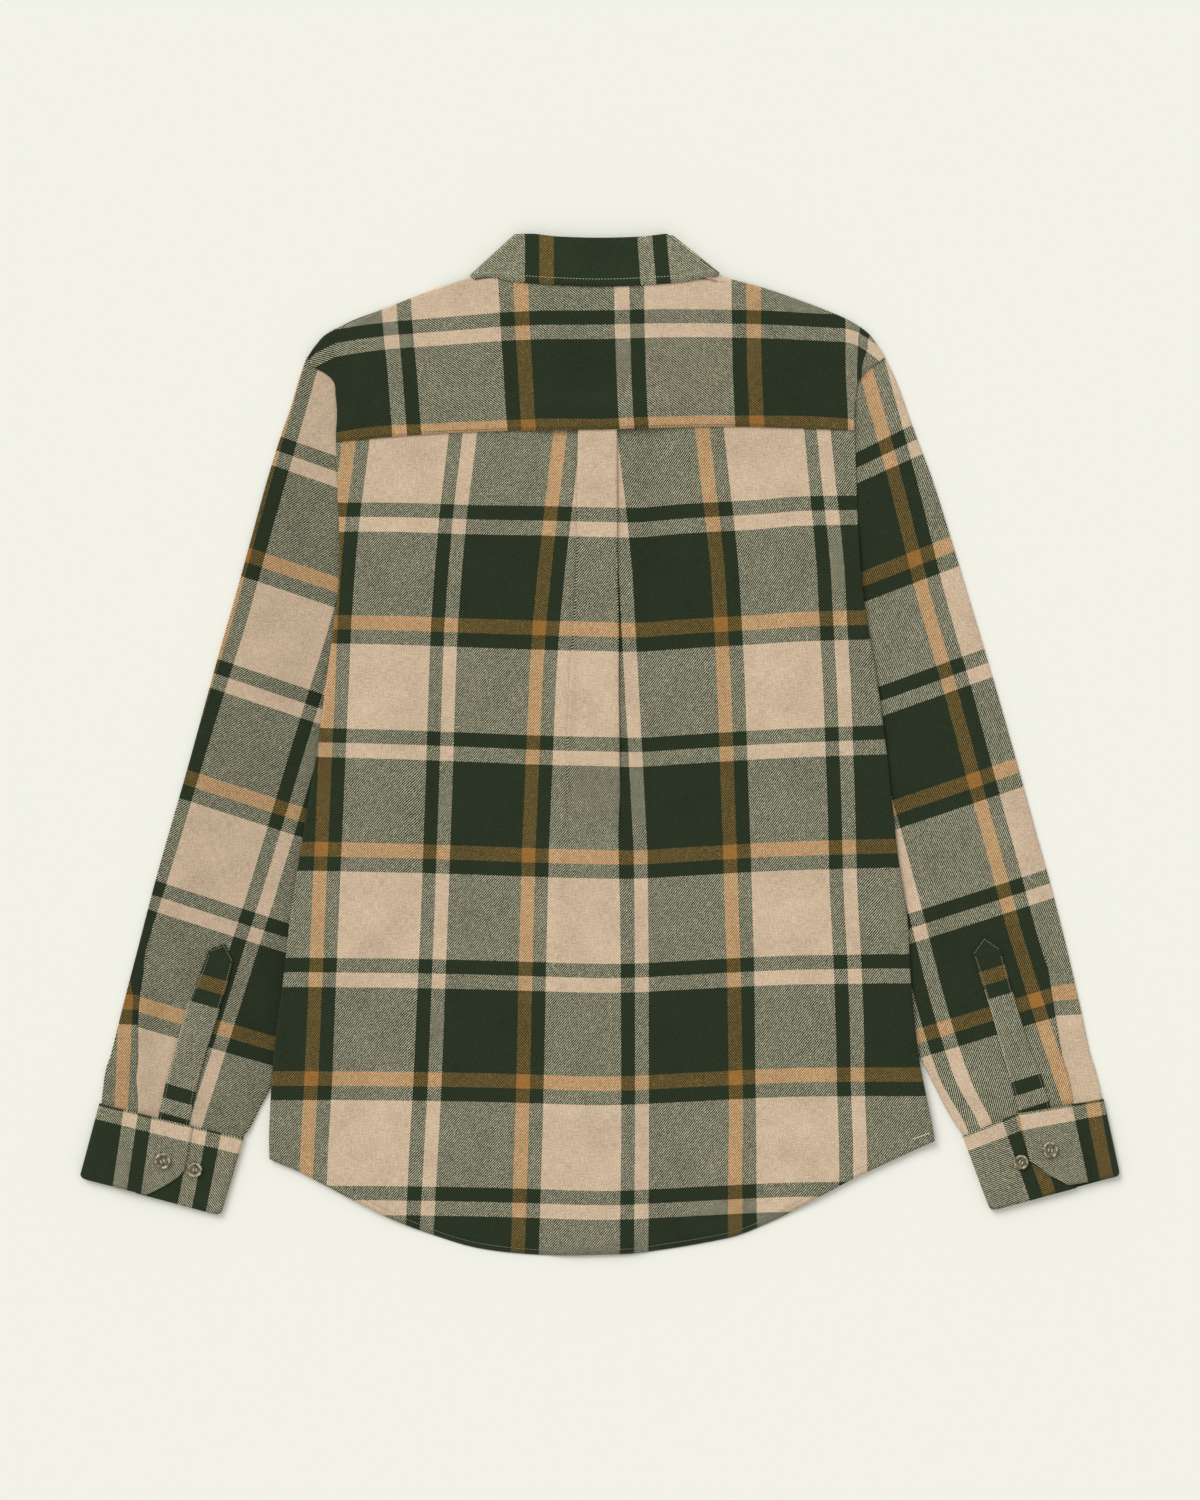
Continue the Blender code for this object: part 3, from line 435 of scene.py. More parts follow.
def front_height(x, y):
    """Middle of the fronts, which also lie on the points of the collar."""
    along = ease((STRIP_TOP_Y + STRIP_TOP_RAMP - y) / STRIP_TOP_RAMP)
    on_points = (LAYER + 0.15) * ease((y - 222.0) / 26.0) * ease((150.0 - np.abs(x)) / 40.0)
    return TABLE + sleeve_rise(x, y) + on_points + STRIP_RISE * strip(x) * along


def back_height(x, y):
    """Middle of the back and of the yoke; the yoke climbs to the collar."""
    neck = ease((y - 232.0) / 50.0) * ease((168.0 - np.abs(x)) / 60.0)
    centre = np.maximum(BACK_STRIP_RISE * strip(x), NECK_RISE * neck)
    return TABLE + BODY_LOFT + sleeve_rise(x, y) + centre


def creases(rows, x, y):
    """Soft ridges and troughs, each a long narrow bell."""
    total = np.zeros(np.shape(x))
    for mid_x, mid_y, turn, long, wide, rise in zip(*rows.values()):
        cosine, sine = math.cos(math.radians(turn)), math.sin(math.radians(turn))
        along = (x - mid_x) * cosine + (y - mid_y) * sine
        across = (y - mid_y) * cosine - (x - mid_x) * sine
        total += rise * np.exp(-(along / long) ** 2 - (across / wide) ** 2)
    return total


def ripple(x, y):
    """The slow unevenness of cloth that was smoothed flat by hand."""
    return (0.30 * np.sin(x / 31 + 0.9 * np.sin(y / 70)) * np.sin(y / 47 + 1.3)
            + 0.22 * np.sin(y / 23 + 1.7 * np.sin(x / 54)) + 0.16 * np.sin((x + 1.4 * y) / 19))


def body_relief(x, y):
    """Unevenness of the back and of the yoke; it ends before the side edges."""
    inside = ease((side_edge(BODY_EDGE, x, y) - np.abs(x)) / 24.0)
    return inside * np.maximum(creases(BODY_CREASES, x, y) + ripple(x, y), -1.2)


# %% Edges that turn towards another layer
RIM_TURN = ((80, 0.0), (58, 0.5), (36, 1.0), (16, 1.5), (0, 2.0))


def edge_first(grid, edge):
    """A grid with one of its edges as the first row: head, foot, start or end."""
    grid = grid.swapaxes(0, 1) if edge in ("start", "end") else grid
    return grid[::-1] if edge in ("foot", "end") else grid


def edge_back(grid, edge):
    """What edge_first turned, in its own order again."""
    grid = grid[::-1] if edge in ("foot", "end") else grid
    return grid.swapaxes(0, 1) if edge in ("start", "end") else grid


def turn_rim(grid, cut, edge, other_z, closing):
    """Five rows in place of an edge turn to the layer at other_z, where closing is 1."""
    grid, cut = edge_first(grid, edge), edge_first(cut, edge)
    rim = grid[0]
    inward = unit((grid[1] - rim) * (1.0, 1.0, 0.0))
    half = (rim[:, 2] - other_z) / 2
    radius = np.abs(half)[:, None]
    turned = []
    for degrees, lie in RIM_TURN:
        angle = math.radians(degrees)
        fold = rim + inward * radius * (1 - math.sin(angle))
        fold[:, 2] = rim[:, 2] - half + half * math.cos(angle)
        turned.append(mix(rim + inward * radius * lie, fold, closing[:, None]))
    grid = np.concatenate([turned, grid[1:]])
    steps = np.linalg.norm(np.diff(grid[:7], axis=0), axis=-1)[..., None]
    beyond = (cut[1] - cut[2]) / steps[5] * np.cumsum(steps[4::-1], axis=0)
    cut = np.concatenate([cut[1] + beyond[::-1], cut[1:]])
    return edge_back(grid, edge), edge_back(cut, edge)


# %% [markdown]
# ## Outlines
# The back's side edges, its curved shirt-tail hem and the yoke seam bound the main pieces.

# %% Outline of the body
BODY_EDGE = table("y left right", """
    309.5 -233.6 227.4, 306.8 -232.6 224, 302.3 -229.6 217.6, 296.4 -218.8 211, 289.2 -212.4 206.2,
    280 -211.2 204.4, 265 -209.9 203.1, 243.6 -210.8 203.6, 195.6 -209.2 205.2, 147.6 -207.6 207.2,
    110 -210.4 211.2, 46 -218.8 221.6, -9.2 -226.2 228.8, -90 -239.6 237.6, -136.4 -246.8 244.8,
    -190 -252.8 248, -249.2 -260.2 254.2, -313.2 -263.9 266.4, -340 -263.4 269.2""")
HEM = table("x y", """
    -272 -325, -264 -331, -242.4 -340.3, -218.4 -352.7, -172 -376.7, -132 -392.3, -96.8 -402.5,
    -49.6 -407.7, 0 -407.5, 36.8 -405.5, 103.2 -394.2, 125.6 -386.3, 152.8 -373.5, 190.4 -353,
    216.8 -339.8, 266 -316.9, 276 -312""")
YOKE_SEAM = table("x y", """
    -216 241.6, -142.4 247.6, -75.5 250.5, 0 251.4, 105.6 253.9, 210 250.9""")

# %% [markdown]
# ## The grain of the body
# Cloth is never laid quite straight: the columns of the plaid lean with the side panels, and
# the rows sag towards the centre. Tables follow them.

# %% Places of the body in its cloth
# Left and right of the pleat: where a column starts, and how much the cloth is spread there
BODY_COLUMNS = table("y left_x left_spread right_x right_spread", """
    -372 -219.2 1.01 39 1.03, -316.4 -216.8 1.006 39.4 1.02, -266.8 -213.8 0.996 39 1.01,
    -177.2 -210.2 0.985 38.5 1.006, -86 -206.4 0.976 37 0.998, -6 -202.9 0.975 33.3 1,
    51.6 -200.3 0.974 30.5 1.004, 95.6 -198.6 0.981 28.1 1.004, 139.6 -195.6 0.989 25.7 1.004,
    183.6 -191.7 0.995 21.3 1.008, 219.6 -186.9 0.991 17 1.012, 260 -182 0.99 12.5 1.015""")
RIGHT_START = 255.7    # place in the cloth of the column that starts right of the pleat
BODY_ROW_Y = 193.4     # where a repeat of the weft starts
SAG = table("x upper middle lower", """
    -224 -0.2 -1.8 -0.6, -160 0 0 0, -96 1.9 2.4 1, -48 2.6 4.4 2.3, 0 4 5.5 3.5, 32 4 6.1 2.8,
    64 1.2 4.1 1.2, 128 -2.4 0.1 -2, 160 -5 -1.5 -3.1, 224 -6 -3.8 -3.8""")
ROW_DROP = table("y drop", """
    -400 -0.4, -360 0, -276 0.6, -180 0.3, -88 0.45, -4 -0.25, 88 0.8, 180 0.35, 245 0.2""")
# Stripes that lie a little to the side: (middle, half width) and the way at some heights
STRIPE_PLACES = ((-128.0, 30.0), (32.0, 22.0), (104.0, 26.0), (192.0, 32.0), (256.0, 28.0))
STRIPE_DRIFT = table("y a b c d e", """
    -372 0.2 -0.3 -0.2 0.2 -0.6, -324 1.2 -0.3 0.3 0.8 -0.8, -284 1.6 -0.1 1.5 0.8 -1,
    -236 2 0.1 1.4 1 -1.2, -172 2.4 0.4 0.8 -0.6 -1.8, -108 2.7 0.8 0 -2 -1.5,
    -44 2.4 0.6 0.2 -1.1 -1.5, 20 1.6 0.2 0.9 -0.9 -0.8, 84 0.9 0 1.2 -1.1 0, 148 0.2 0 1.1 -0.9 0,
    211 -0.6 0 0.6 -1.5 0""")


def body_row(x, y):
    """Place along the warp, which runs from the collar to the hem."""
    upper, middle, lower = (read(SAG, name, "x", x) for name in ("upper", "middle", "lower"))
    sag = mix(middle, upper, ease((y - 11.0) / 185.0))
    sag = mix(sag, lower, ease((11.0 - y) / 275.0))
    return BODY_ROW_Y - y - sag - read(ROW_DROP, "drop", "y", y)


def body_column(side, x, y):
    """Place across the weft, on one side of the pleat."""
    drift = sum(read(STRIPE_DRIFT, name, "y", y) * ease(2 * (1 - np.abs(x - middle) / half))
                for name, (middle, half) in zip("abcde", STRIPE_PLACES))
    across = x - drift - line(BODY_COLUMNS, side + "_x", "y", y)
    start = RIGHT_START if side == "right" else 0.0
    return start + across / line(BODY_COLUMNS, side + "_spread", "y", y)


# %% [markdown]
# ## Back panel
# The back hangs from the yoke in a box pleat: the cloth turns in under the box and out again
# on each side, deep at the yoke and flat by the waist. The grid follows the cloth through its
# folds, so the plaid vanishes into the pleat and comes out again as it does on real cloth.

# %% Pleat and rows of the back
PLEAT = table("y left right left_depth right_depth open", """
    258 -16.4 12.4 12 14 0, 200 -17 12.6 11 12 0, 150 -17.5 12.8 9.5 10 0, 95 -20.2 13.8 7.5 8 0,
    45 -23.6 13.8 5 5.5 0, 0 -25.2 14.4 3 3.5 0, -45 -26.2 16.2 1.6 1.8 0.3,
    -90 -26.4 17.9 1 1 0.75, -135 -26.4 17.6 1 1 1, -420 -26.4 17.6 1 1 1""")
PLEAT_SPREAD = 16.8    # width of a fold where the pleat lies open
HEM_WIDTH = 9.0        # the hem is turned up and stitched
HEM_RISE = 0.4
HEM_DROP = 3.6         # past the fronts' hems the back's own hem sinks to the table
BACK_ROWS = 150
SIDE_COLUMNS = 52
BOX_COLUMNS = 12


def pleat_fold(fold_x, depth, opened, side):
    """Points of one fold of the pleat, from the side panel to the box: (x, rise) arrays."""
    radius = LAYER / 2
    turns = [(way, out, rise, math.radians(degrees))
             for way, out, rise in ((1, depth, radius), (-1, 0.0, 3 * radius))
             for degrees in (-90, -45, 0, 45, 90)]
    placed_points = []
    for k, (way, out, rise, angle) in enumerate(turns):
        inward = out + way * radius * math.cos(angle)
        flat = (k / (len(turns) - 1) - 0.5) * PLEAT_SPREAD
        placed_points.append((fold_x - side * mix(inward, flat, opened),
                              mix(rise + radius * math.sin(angle), 0.0, opened)))
    return placed_points


def body_y(x, v):
    """Height at share v of the way from under the yoke seam to the hem."""
    return mix(read(YOKE_SEAM, "y", "x", x) + SEAM_LAP, read(HEM, "y", "x", x), v)


def side_end(side, v):
    """Where each row of the back meets a side edge."""
    y = mix(245.0, -325.0, v)
    for _ in range(4):
        x = read(BODY_EDGE, side, "y", y)
        y = body_y(x, v)
    return x


def side_closing(y):
    """0 along the armhole, where the back lies on the sleeve, and 1 at the side seam."""
    return ease((UNDERARM_Y + 4 - y) / 20)


def back_panel():
    v = np.linspace(0.0, 1.0, BACK_ROWS)
    middle_y = body_y(0.0, v)
    place = {name: read(PLEAT, name, "y", middle_y) for name in PLEAT}
    opened = place["open"]
    left_fold = pleat_fold(place["left"], place["left_depth"], opened, -1)
    right_fold = pleat_fold(place["right"], place["right_depth"], opened, 1)[::-1]

    def run(start, stop, count, rise):
        return [(mix(start, stop, k / count), rise) for k in range(count)]

    none = np.zeros_like(v)
    box_rise = mix(2 * LAYER, 0.0, opened)
    parts = run(side_end("left", v), left_fold[0][0], SIDE_COLUMNS, none) + left_fold
    parts += run(left_fold[-1][0], right_fold[0][0], BOX_COLUMNS, box_rise)[1:] + right_fold
    parts += run(side_end("right", v), right_fold[-1][0], SIDE_COLUMNS, none)[::-1]
    x, rise = np.array(parts).transpose(1, 2, 0)
    y = body_y(x, v[:, None])
    hem_fold = HEM_RISE * ease((y[-1] + HEM_WIDTH - y) / 2.0)
    drop = HEM_DROP * ease((y[-1] + FRONT_HEM_SHORT - 0.6 - y) / (FRONT_HEM_SHORT - 0.6))
    drop *= ease((190.0 - np.abs(x)) / 70.0)
    z = np.maximum(back_height(x, y) + rise + body_relief(x, y) + hem_fold - drop, TABLE)
    grid = np.stack([x, y, z], axis=-1)

    # The cloth runs on through the folds: hidden is what each fold hides of it
    first, last = SIDE_COLUMNS, SIDE_COLUMNS + len(left_fold) - 1
    second = last + BOX_COLUMNS
    end = second + len(right_fold) - 1
    left_at = body_column("left", place["left"], middle_y)
    right_at = body_column("right", place["right"], middle_y)
    hidden = (right_at - left_at - (place["right"] - place["left"])) / 2
    left_u, right_u = body_column("left", x, y), body_column("right", x, y)
    box_start = mix(left_at + hidden, left_u[:, last], opened)
    box_stop = mix(right_at - hidden, right_u[:, second], opened)
    u = np.concatenate([left_u[:, :end], right_u[:, end:]], axis=1)
    for a, b, start, stop in ((first, last, left_u[:, first], box_start),
                              (last, second, box_start, box_stop),
                              (second, end, box_stop, right_u[:, end])):
        share = walked(np.stack([x, rise], axis=-1)[:, a:b + 1], 1)
        u[:, a:b + 1] = mix(start[:, None], stop[:, None], share / share[:, -1:])
    cut = np.stack([u, body_row(x, y)], axis=-1)
    for edge in ("start", "end"):
        _, rim_y, rim_z = edge_first(grid, edge)[0].T
        grid, cut = turn_rim(grid, cut, edge, rim_z - BODY_LOFT, side_closing(rim_y))
    return sheet_of_cloth("back", grid, cut)


back = back_panel()


# %% [markdown]
# ## Yoke
# The yoke is cut with its warp across the shoulders, so the plaid turns by a quarter there.
# It lies over the top of the back panel and turns down to the fronts along the shoulders.

# %% Places of the yoke in its cloth
YOKE_COLUMNS = table("top_x top_y seam_x", """
    -233.6 309.5 -210.8, -227 318.7 -200, -214.4 330.3 -184, -178 345.4 -158, -140 360.6 -126,
    -106 371.8 -94, -92 377.5 -80, -62 380.5 -52, -30 380.2 -26, 0 380 0, 30 380.2 26, 58 380.5 52,
    80 378 74, 99 372.8 90, 134 363.6 122, 170 351 152, 197.6 339.6 176, 214 329 190,
    222.5 318 197, 228 309.5 203.6""")
# Two threads of the warp, by their height, and three of the weft, by their place across
YOKE_WARP = table("x upper lower", """
    -229.9 322 238.8, -211.6 331.4 249, -188 335.3 253, -165.6 337.9 255.2, -144 339.6 255.6,
    -112 341.9 257.3, -76.8 345 258.8, -44 346.4 260, 0 346.5 259.6, 48 347.5 261.5,
    80 347.4 262.7, 110.4 347 262.5, 144 346 262.6, 168 344.6 262.2, 196.8 343.2 260.4,
    205 341 258, 213 336 253, 221 330 247, 229 322 239""")
YOKE_WARP_UPPER = 64.0
YOKE_WARP_LOWER = 147.6
YOKE_WEFT = table("y left middle right", """
    252.4 -143 38.8 198.2, 267.6 -144.1 37.7 197.7, 299.6 -146.5 36.5 196.2, 330 -149.4 35.7 196.2,
    362 -151.6 35.3 195.8""")
YOKE_ROWS, YOKE_ACROSS = 36, 118
YOKE_WEFT_MIDDLE = -182.1
YOKE_WEFT_RIGHT = -340.9


def yoke_cut(x, y):
    """Place of the yoke's points in the cloth, which lies there with its warp across."""
    upper, lower = (line(YOKE_WARP, name, "x", x) for name in ("upper", "lower"))
    u = mix(YOKE_WARP_UPPER, YOKE_WARP_LOWER, (upper - y) / (upper - lower))
    left, middle, right = (line(YOKE_WEFT, name, "y", y) for name in ("left", "middle", "right"))
    drawn = 5.0 + 6.0 * ease((318.0 - y) / 20.0)
    right = right - drawn * ease((x - 202.5) / 9.0) * ease((334.0 - y) / 12.0)
    v = np.where(x < middle, YOKE_WEFT_MIDDLE * (x - left) / (middle - left),
                 mix(YOKE_WEFT_MIDDLE, YOKE_WEFT_RIGHT, (x - middle) / (right - middle)))
    return np.stack([u, v], axis=-1)


# %% The yoke
def between_edges(top_x, top_y, low_x, low_y, v, fan, edges):
    """Points of a panel, drawn out so that its first or last column is a given edge.

    A fan above 1 spreads the columns sooner, so that they leave a steep neckline squarely.
    """
    share = np.linspace(0.0, 1.0, len(top_x))
    x = mix(top_x, low_x, 1 - (1 - v[:, None]) ** fan)
    y = mix(top_y, low_y, v[:, None])
    for column, (edge_x, edge_y) in edges.items():
        weight = share if column else 1 - share
        x += (edge_x - x[:, column])[:, None] * weight
        y += (edge_y - y[:, column])[:, None] * weight
    return x, y


def fine_columns(columns, count):
    """The columns of a table at evenly spread places, on smooth curves through its rows."""
    share = np.linspace(0.0, 1.0, len(columns["top_x"]))
    return [curve(share, values, np.linspace(0.0, 1.0, count)) for values in columns.values()]


def shoulder_closing(x, end):
    """1 along a shoulder, where the yoke and a front meet in a fold, and 0 past its ends."""
    return ease((np.abs(x) - 98.0) / 6.0) * ease((end - np.abs(x)) / 6.0)


def back_yoke():
    v = np.linspace(0.0, 1.0, YOKE_ROWS)
    top_x, top_y, seam_x = fine_columns(YOKE_COLUMNS, YOKE_ACROSS)
    seam_y = read(YOKE_SEAM, "y", "x", seam_x)
    side_y = {k: mix(top_y[k], seam_y[k], v) for k in (0, -1)}
    edges = {k: (read(BODY_EDGE, side, "y", side_y[k]), side_y[k])
             for k, side in ((0, "left"), (-1, "right"))}
    x, y = between_edges(top_x, top_y, seam_x, seam_y, v, 1, edges)
    near = ease((34.0 - y + read(YOKE_SEAM, "y", "x", x)) / 18.0)
    pleat = ease((62.0 - np.abs(x)) / 24.0)
    z = back_height(x, y) + near * (LAYER + 2 * LAYER * pleat)
    z += body_relief(x, y) * ease(v[:, None] / 0.25)
    grid = np.stack([x, y, z], axis=-1)
    return sheet_of_cloth("yoke", *turn_rim(grid, yoke_cut(x, y), "head", front_height(x[0], y[0]),
                                            shoulder_closing(x[0], 232.0)))


yoke = back_yoke()


# %% [markdown]
# ## Fronts
# The two fronts lie on the table. The wearer's left one is outermost along the buttons.

# %% The two fronts
FRONT_COLUMNS = table("top_x top_y hem_x", """
    -13 287.5 -13, 2 287 2, 20 289.5 20, 38 297 35, 58 311 50, 76 333 84, 88 356 126, 95 373.5 164,
    134 362 190, 172 348 215, 208 333 241, 231 309.5 266""")
FRONT_ROWS, FRONT_ACROSS = 170, 84


def front(name, sign, lift):
    """One front. sign is -1 on the left; lift raises the front that lies underneath as worn."""
    top_x, top_y, hem_x = fine_columns(FRONT_COLUMNS, FRONT_ACROSS)
    if lift:
        top_y = top_y - NECK_CUT * ease((60 - top_x) / 20)
    low_y = read(HEM, "y", "x", sign * hem_x) + FRONT_HEM_SHORT
    v = np.linspace(0.0, 1.0, FRONT_ROWS)
    side_y = mix(top_y[-1], low_y[-1], v)
    butt = (ARMHOLE_LAP + SEAM) * ease((side_y - UNDERARM_Y + 8) / 16)
    side_x = read(BODY_EDGE, "left" if sign < 0 else "right", "y", side_y) - sign * butt
    x, y = between_edges(sign * top_x, top_y, sign * hem_x, low_y, v, 4, {-1: (side_x, side_y)})
    z = front_height(x, y) + lift * ease((40 - sign * x) / 25)
    grid, cut = turn_rim(np.stack([x, y, z], axis=-1), np.stack([x, BODY_ROW_Y - y], axis=-1),
                         "end", z[:, -1] + BODY_LOFT, side_closing(y[:, -1]))
    top_x, top_y, _ = grid[0].T
    return sheet_of_cloth(name, *turn_rim(grid, cut, "head", back_height(top_x, top_y),
                                          shoulder_closing(top_x, 229.0)))


left_front = front("left_front", -1, 0.0)
right_front = front("right_front", 1, LAYER)


# %% [markdown]
# ## Sleeves
# A sleeve is a flattened tube that is open along the armhole and closed by a seam below it.
# Its warp runs to the hand, and a small pleat takes in its width where it enters the cuff.

# %% Sections of the sleeves
SLEEVE_NAMES = "outer_x outer_y inner_x inner_y closed pleat_in pleat_rise"
LEFT_SLEEVE = table(SLEEVE_NAMES, """
    -234.6 309.6 -208.6 290.6 0 5 0, -240.9 291 -208.8 272 0 8 0, -247.7 268 -207.8 252 0 9 0,
    -253.6 251.5 -208.8 236 0 10 0, -266 212 -207.3 198 0 14 0, -279.2 163.6 -205.6 152 0 16 0,
    -291.2 120 -204.6 112 0.4 18 0, -302.6 80 -189 76 1 20 0, -315.6 33 -180 21 1 20 0,
    -329 -16 -180.5 -38 1 18 0, -343 -65 -190.5 -92 1 14 0, -356.6 -113 -208 -145 1 9 0,
    -369 -161 -229 -198 1 9.5 0.7, -380.4 -205 -248.5 -242 1 14 1.2,
    -391.4 -249 -267.2 -281.5 1 24.5 1.3, -395.3 -260.5 -271.6 -290 1 27 1.3""")
RIGHT_SLEEVE = table(SLEEVE_NAMES, """
    227.2 310.6 203.4 301 0 5 0, 236.6 291 202.2 276 0 8 0, 250.8 251.5 201.6 236 0 10 0,
    265.6 212 203 198 0 14 0, 280.8 163.6 205 152 0 16 0, 294 120 206.6 112 0.4 18 0,
    306 80 190 76 1 20 0, 319.8 33 180 21 1 20 0, 333.6 -16 180.5 -38 1 20 0,
    347 -65 190.5 -92 1 20 0, 360.4 -113 208 -145 1 19 0, 372.6 -161 229 -196 1 19 0.3,
    382.8 -205 249 -237 1 22 1.1, 391.8 -247 268.6 -275 1 23.6 1.3,
    395.6 -258.6 275 -288 1 23.6 1.3""")
SLEEVE_END = table("past outer_in inner_in pleat_rise", """
    -9 0.8 -2.4 1.1, -1 1.8 1.2 0, 8 2.6 2.6 0""")
SLEEVE_ROWS = 165
SLEEVE_COLUMNS = {"upper": 22, "lower": 30}
SLEEVE_RIM = 22.0              # the relief of a sleeve fades out this near to its edges
PLEAT_WIDTH = 16.0
PLEAT_TURN_DEGREES = 15.0      # the cloth outside the fold is turned about the fold's top
PLEAT_PIVOTS = {-1: (-365.0, -152.7), 1: (358.0, -160.0)}
PLEAT_TURNS_IN = 55.0          # length over which it turns
# The fold of the pleat: place on it, place where there's no pleat, and share of its rise
PLEAT_TURN = ((0.0, 0.0, 1.0), (-0.55, 0.3, 0.8), (-0.7, 0.6, 0.5), (-0.45, 0.9, 0.2),
              (0.1, 1.2, 0.0))
CUFF_ENTRY = 24.0
CUFF_DIP = 0.8
BESIDE_SWELL = 1.6

# Cuffs: the four corners, then the overlapping tab and the buttons on it
LEFT_CUFF = {
    "outer_top": (-400.6, -288.2), "inner_top": (-285.0, -316.0),
    "outer_low": (-416.0, -346.0), "inner_low": (-303.0, -376.2),
    "tab_top": 0.648, "tab_corner": 0.677, "tab_mitre": 0.474, "under_end": 0.4,
    "tab_short": 0.8, "mitre_bend": 1.35, "pleat_in": 31.0, "top_bend": 0.0, "outer_spread": 1.0,
    "button": (-349.0, -332.6), "link_button": (-323.4, -339.6)}
RIGHT_CUFF = {
    "outer_top": (402.8, -284.6), "inner_top": (290.2, -314.0),
    "outer_low": (415.8, -344.5), "inner_low": (311.8, -372.6),
    "tab_top": 0.592, "tab_corner": 0.613, "tab_mitre": 0.400, "under_end": 0.34,
    "tab_short": 4.0, "mitre_bend": 1.0, "pleat_in": 24.0, "top_bend": 6.2, "outer_spread": 0.86,
    "button": (359.2, -323.6), "link_button": (336.0, -333.4)}

# Places of the sleeves in their cloth. Rows: place, height at GRAIN_X to that side, and slope.
# Columns: a line down the sleeve that follows one thread of the warp.
GRAIN_X = 280.0
LEFT_ROWS = table("at y slope", """
    0 255 -0.355, 113.1 132.3 -0.334, 182.1 59.8 -0.335, 295.2 -60.9 -0.321, 364.2 -132.9 -0.322,
    477.3 -251.4 -0.288""")
LEFT_THREAD = table("y x", """
    -225.6 -382.6, -172 -365.6, -126 -351, -70 -333.7, -4.4 -314.2, 30.8 -303.3, 91.6 -284.2,
    118 -276.8, 183.6 -258.7, 244.4 -241.4""")
RIGHT_ROWS = table("at y slope", """
    0 270.7 0.5, 23.3 242.3 0.45, 113.1 140 0.38, 182.1 66.8 0.361, 295.2 -53.3 0.337,
    364.2 -124.5 0.323, 477.3 -243.2 0.306""")
RIGHT_THREAD = table("y x", """
    -284.4 368.5, -226 349.3, -150 325.7, -83.6 308.3, -51.6 299.5, 5.2 284.6, 36.4 276.3, 90 261,
    123.6 251.8, 188.4 236.1, 210.8 230.5, 258 217.9""")
RIGHT_LEAN = table("y way", """
    -312 -0.05, -298 -0.03, -282 0.02, -266 0.055, -229 0.056, -190 0.04, -150 0.004, -120 0""")
SLEEVE_GRAIN = {-1: (LEFT_ROWS, LEFT_THREAD, 0.0, 0.956),
                1: (RIGHT_ROWS, RIGHT_THREAD, 147.6, 0.968)}
SLEEVE_CREASES = table("x y turn long wide rise", """
    297 -156 -60 13 2.6 0.9, 303 -158 -60 12 3 -0.5, 306 -286 -62 20 4 0.8, 322 -280 -70 14 3 0.6,
    372 -150 -70 40 5 0.5, -310 -292 62 16 4 0.7, -296 -276 58 18 5 0.6, -330 -150 72 30 6 0.5,
    -262 120 70 50 8 0.6, 262 116 -70 50 8 0.6, -300 -30 40 26 7 0.5, 300 -20 -40 26 7 0.5,
    -222 262 60 20 4 0.6, 220 268 -60 22 4 0.6""")


def sleeve_cut(side, x, y):
    """Place of a sleeve's points in its cloth: across the warp and along it."""
    rows, thread_line, thread_at, cosine = SLEEVE_GRAIN[side]
    level = y
    for _ in range(3):
        level = y - line(rows, "slope", "y", level) * (x - side * GRAIN_X)
    away = x - line(thread_line, "x", "y", y)
    if side > 0:
        away = away + read(RIGHT_LEAN, "way", "y", y) * np.maximum(-away, 0.0)
    return thread_at + away * cosine, line(rows, "at", "y", level)


def cuff_lines(cuff):
    """The cuff's top corners, the way along its top edge and the way to the hand."""
    outer, inner = np.array(cuff["outer_top"]), np.array(cuff["inner_top"])
    along = unit(inner - outer)
    to_hand = np.array((along[1], -along[0]))
    return outer, inner, along, to_hand if to_hand[1] < 0 else -to_hand


def top_bend(cuff, share):
    """How far the cuff's top edge lies above a straight line; most at the tab's end."""
    peak = cuff["tab_top"]
    return cuff["top_bend"] * np.clip(np.minimum(share / peak, (1 - share) / (1 - peak)), 0, 1)


def past_cuff(x, y, cuff):
    """How far a place lies past the top edge of the cuff."""
    outer, inner, along, to_hand = cuff_lines(cuff)
    from_corner = np.stack([x - outer[0], y - outer[1]], axis=-1)
    return from_corner @ to_hand + top_bend(cuff, from_corner @ along
                                            / np.linalg.norm(inner - outer))


def cuff_entry(x, y, cuff):
    """Rise of the sleeve where it climbs into the cuff."""
    return LAYER * np.clip(1 + (past_cuff(x, y, cuff) + 1.0) / CUFF_ENTRY, 0.0, 1.0)


def sleeve_relief(x, y, cuff):
    """Unevenness of a sleeve's upper side where the body doesn't cover it.

    The sleeve swells beside the body, and it dips where it enters the cuff.
    """
    beside = np.abs(x) - side_edge(BODY_EDGE, x, y)
    past = past_cuff(x, y, cuff)
    clear = ease((beside - 3.0) / 14.0) * ease((-past - 4.0) / 18.0)
    uneven = clear * np.maximum(creases(SLEEVE_CREASES, x, y) + 0.7 * ripple(y, x), -0.7)
    swell = BESIDE_SWELL * ease((beside + 1.0) / 11.0) * ease((UNDERARM_Y - 10.0 - y) / 60.0)
    swell *= ease((-past - 2.0) / 30.0)
    ridge = 0.7 * np.exp(-((past + 8.0) / 4.0) ** 2)
    return uneven + swell + ridge - CUFF_DIP * np.exp(-((past + 0.6) / 1.7) ** 2)


# %% The sleeves
def half_turn(edge, way, radius, step):
    """A half circle at an edge, from one side of the cloth to the other: (place, rise)."""
    return [(edge + way * abs(radius) * math.sin(math.radians(degrees)),
             radius * math.cos(math.radians(degrees))) for degrees in range(0, 181, step)]


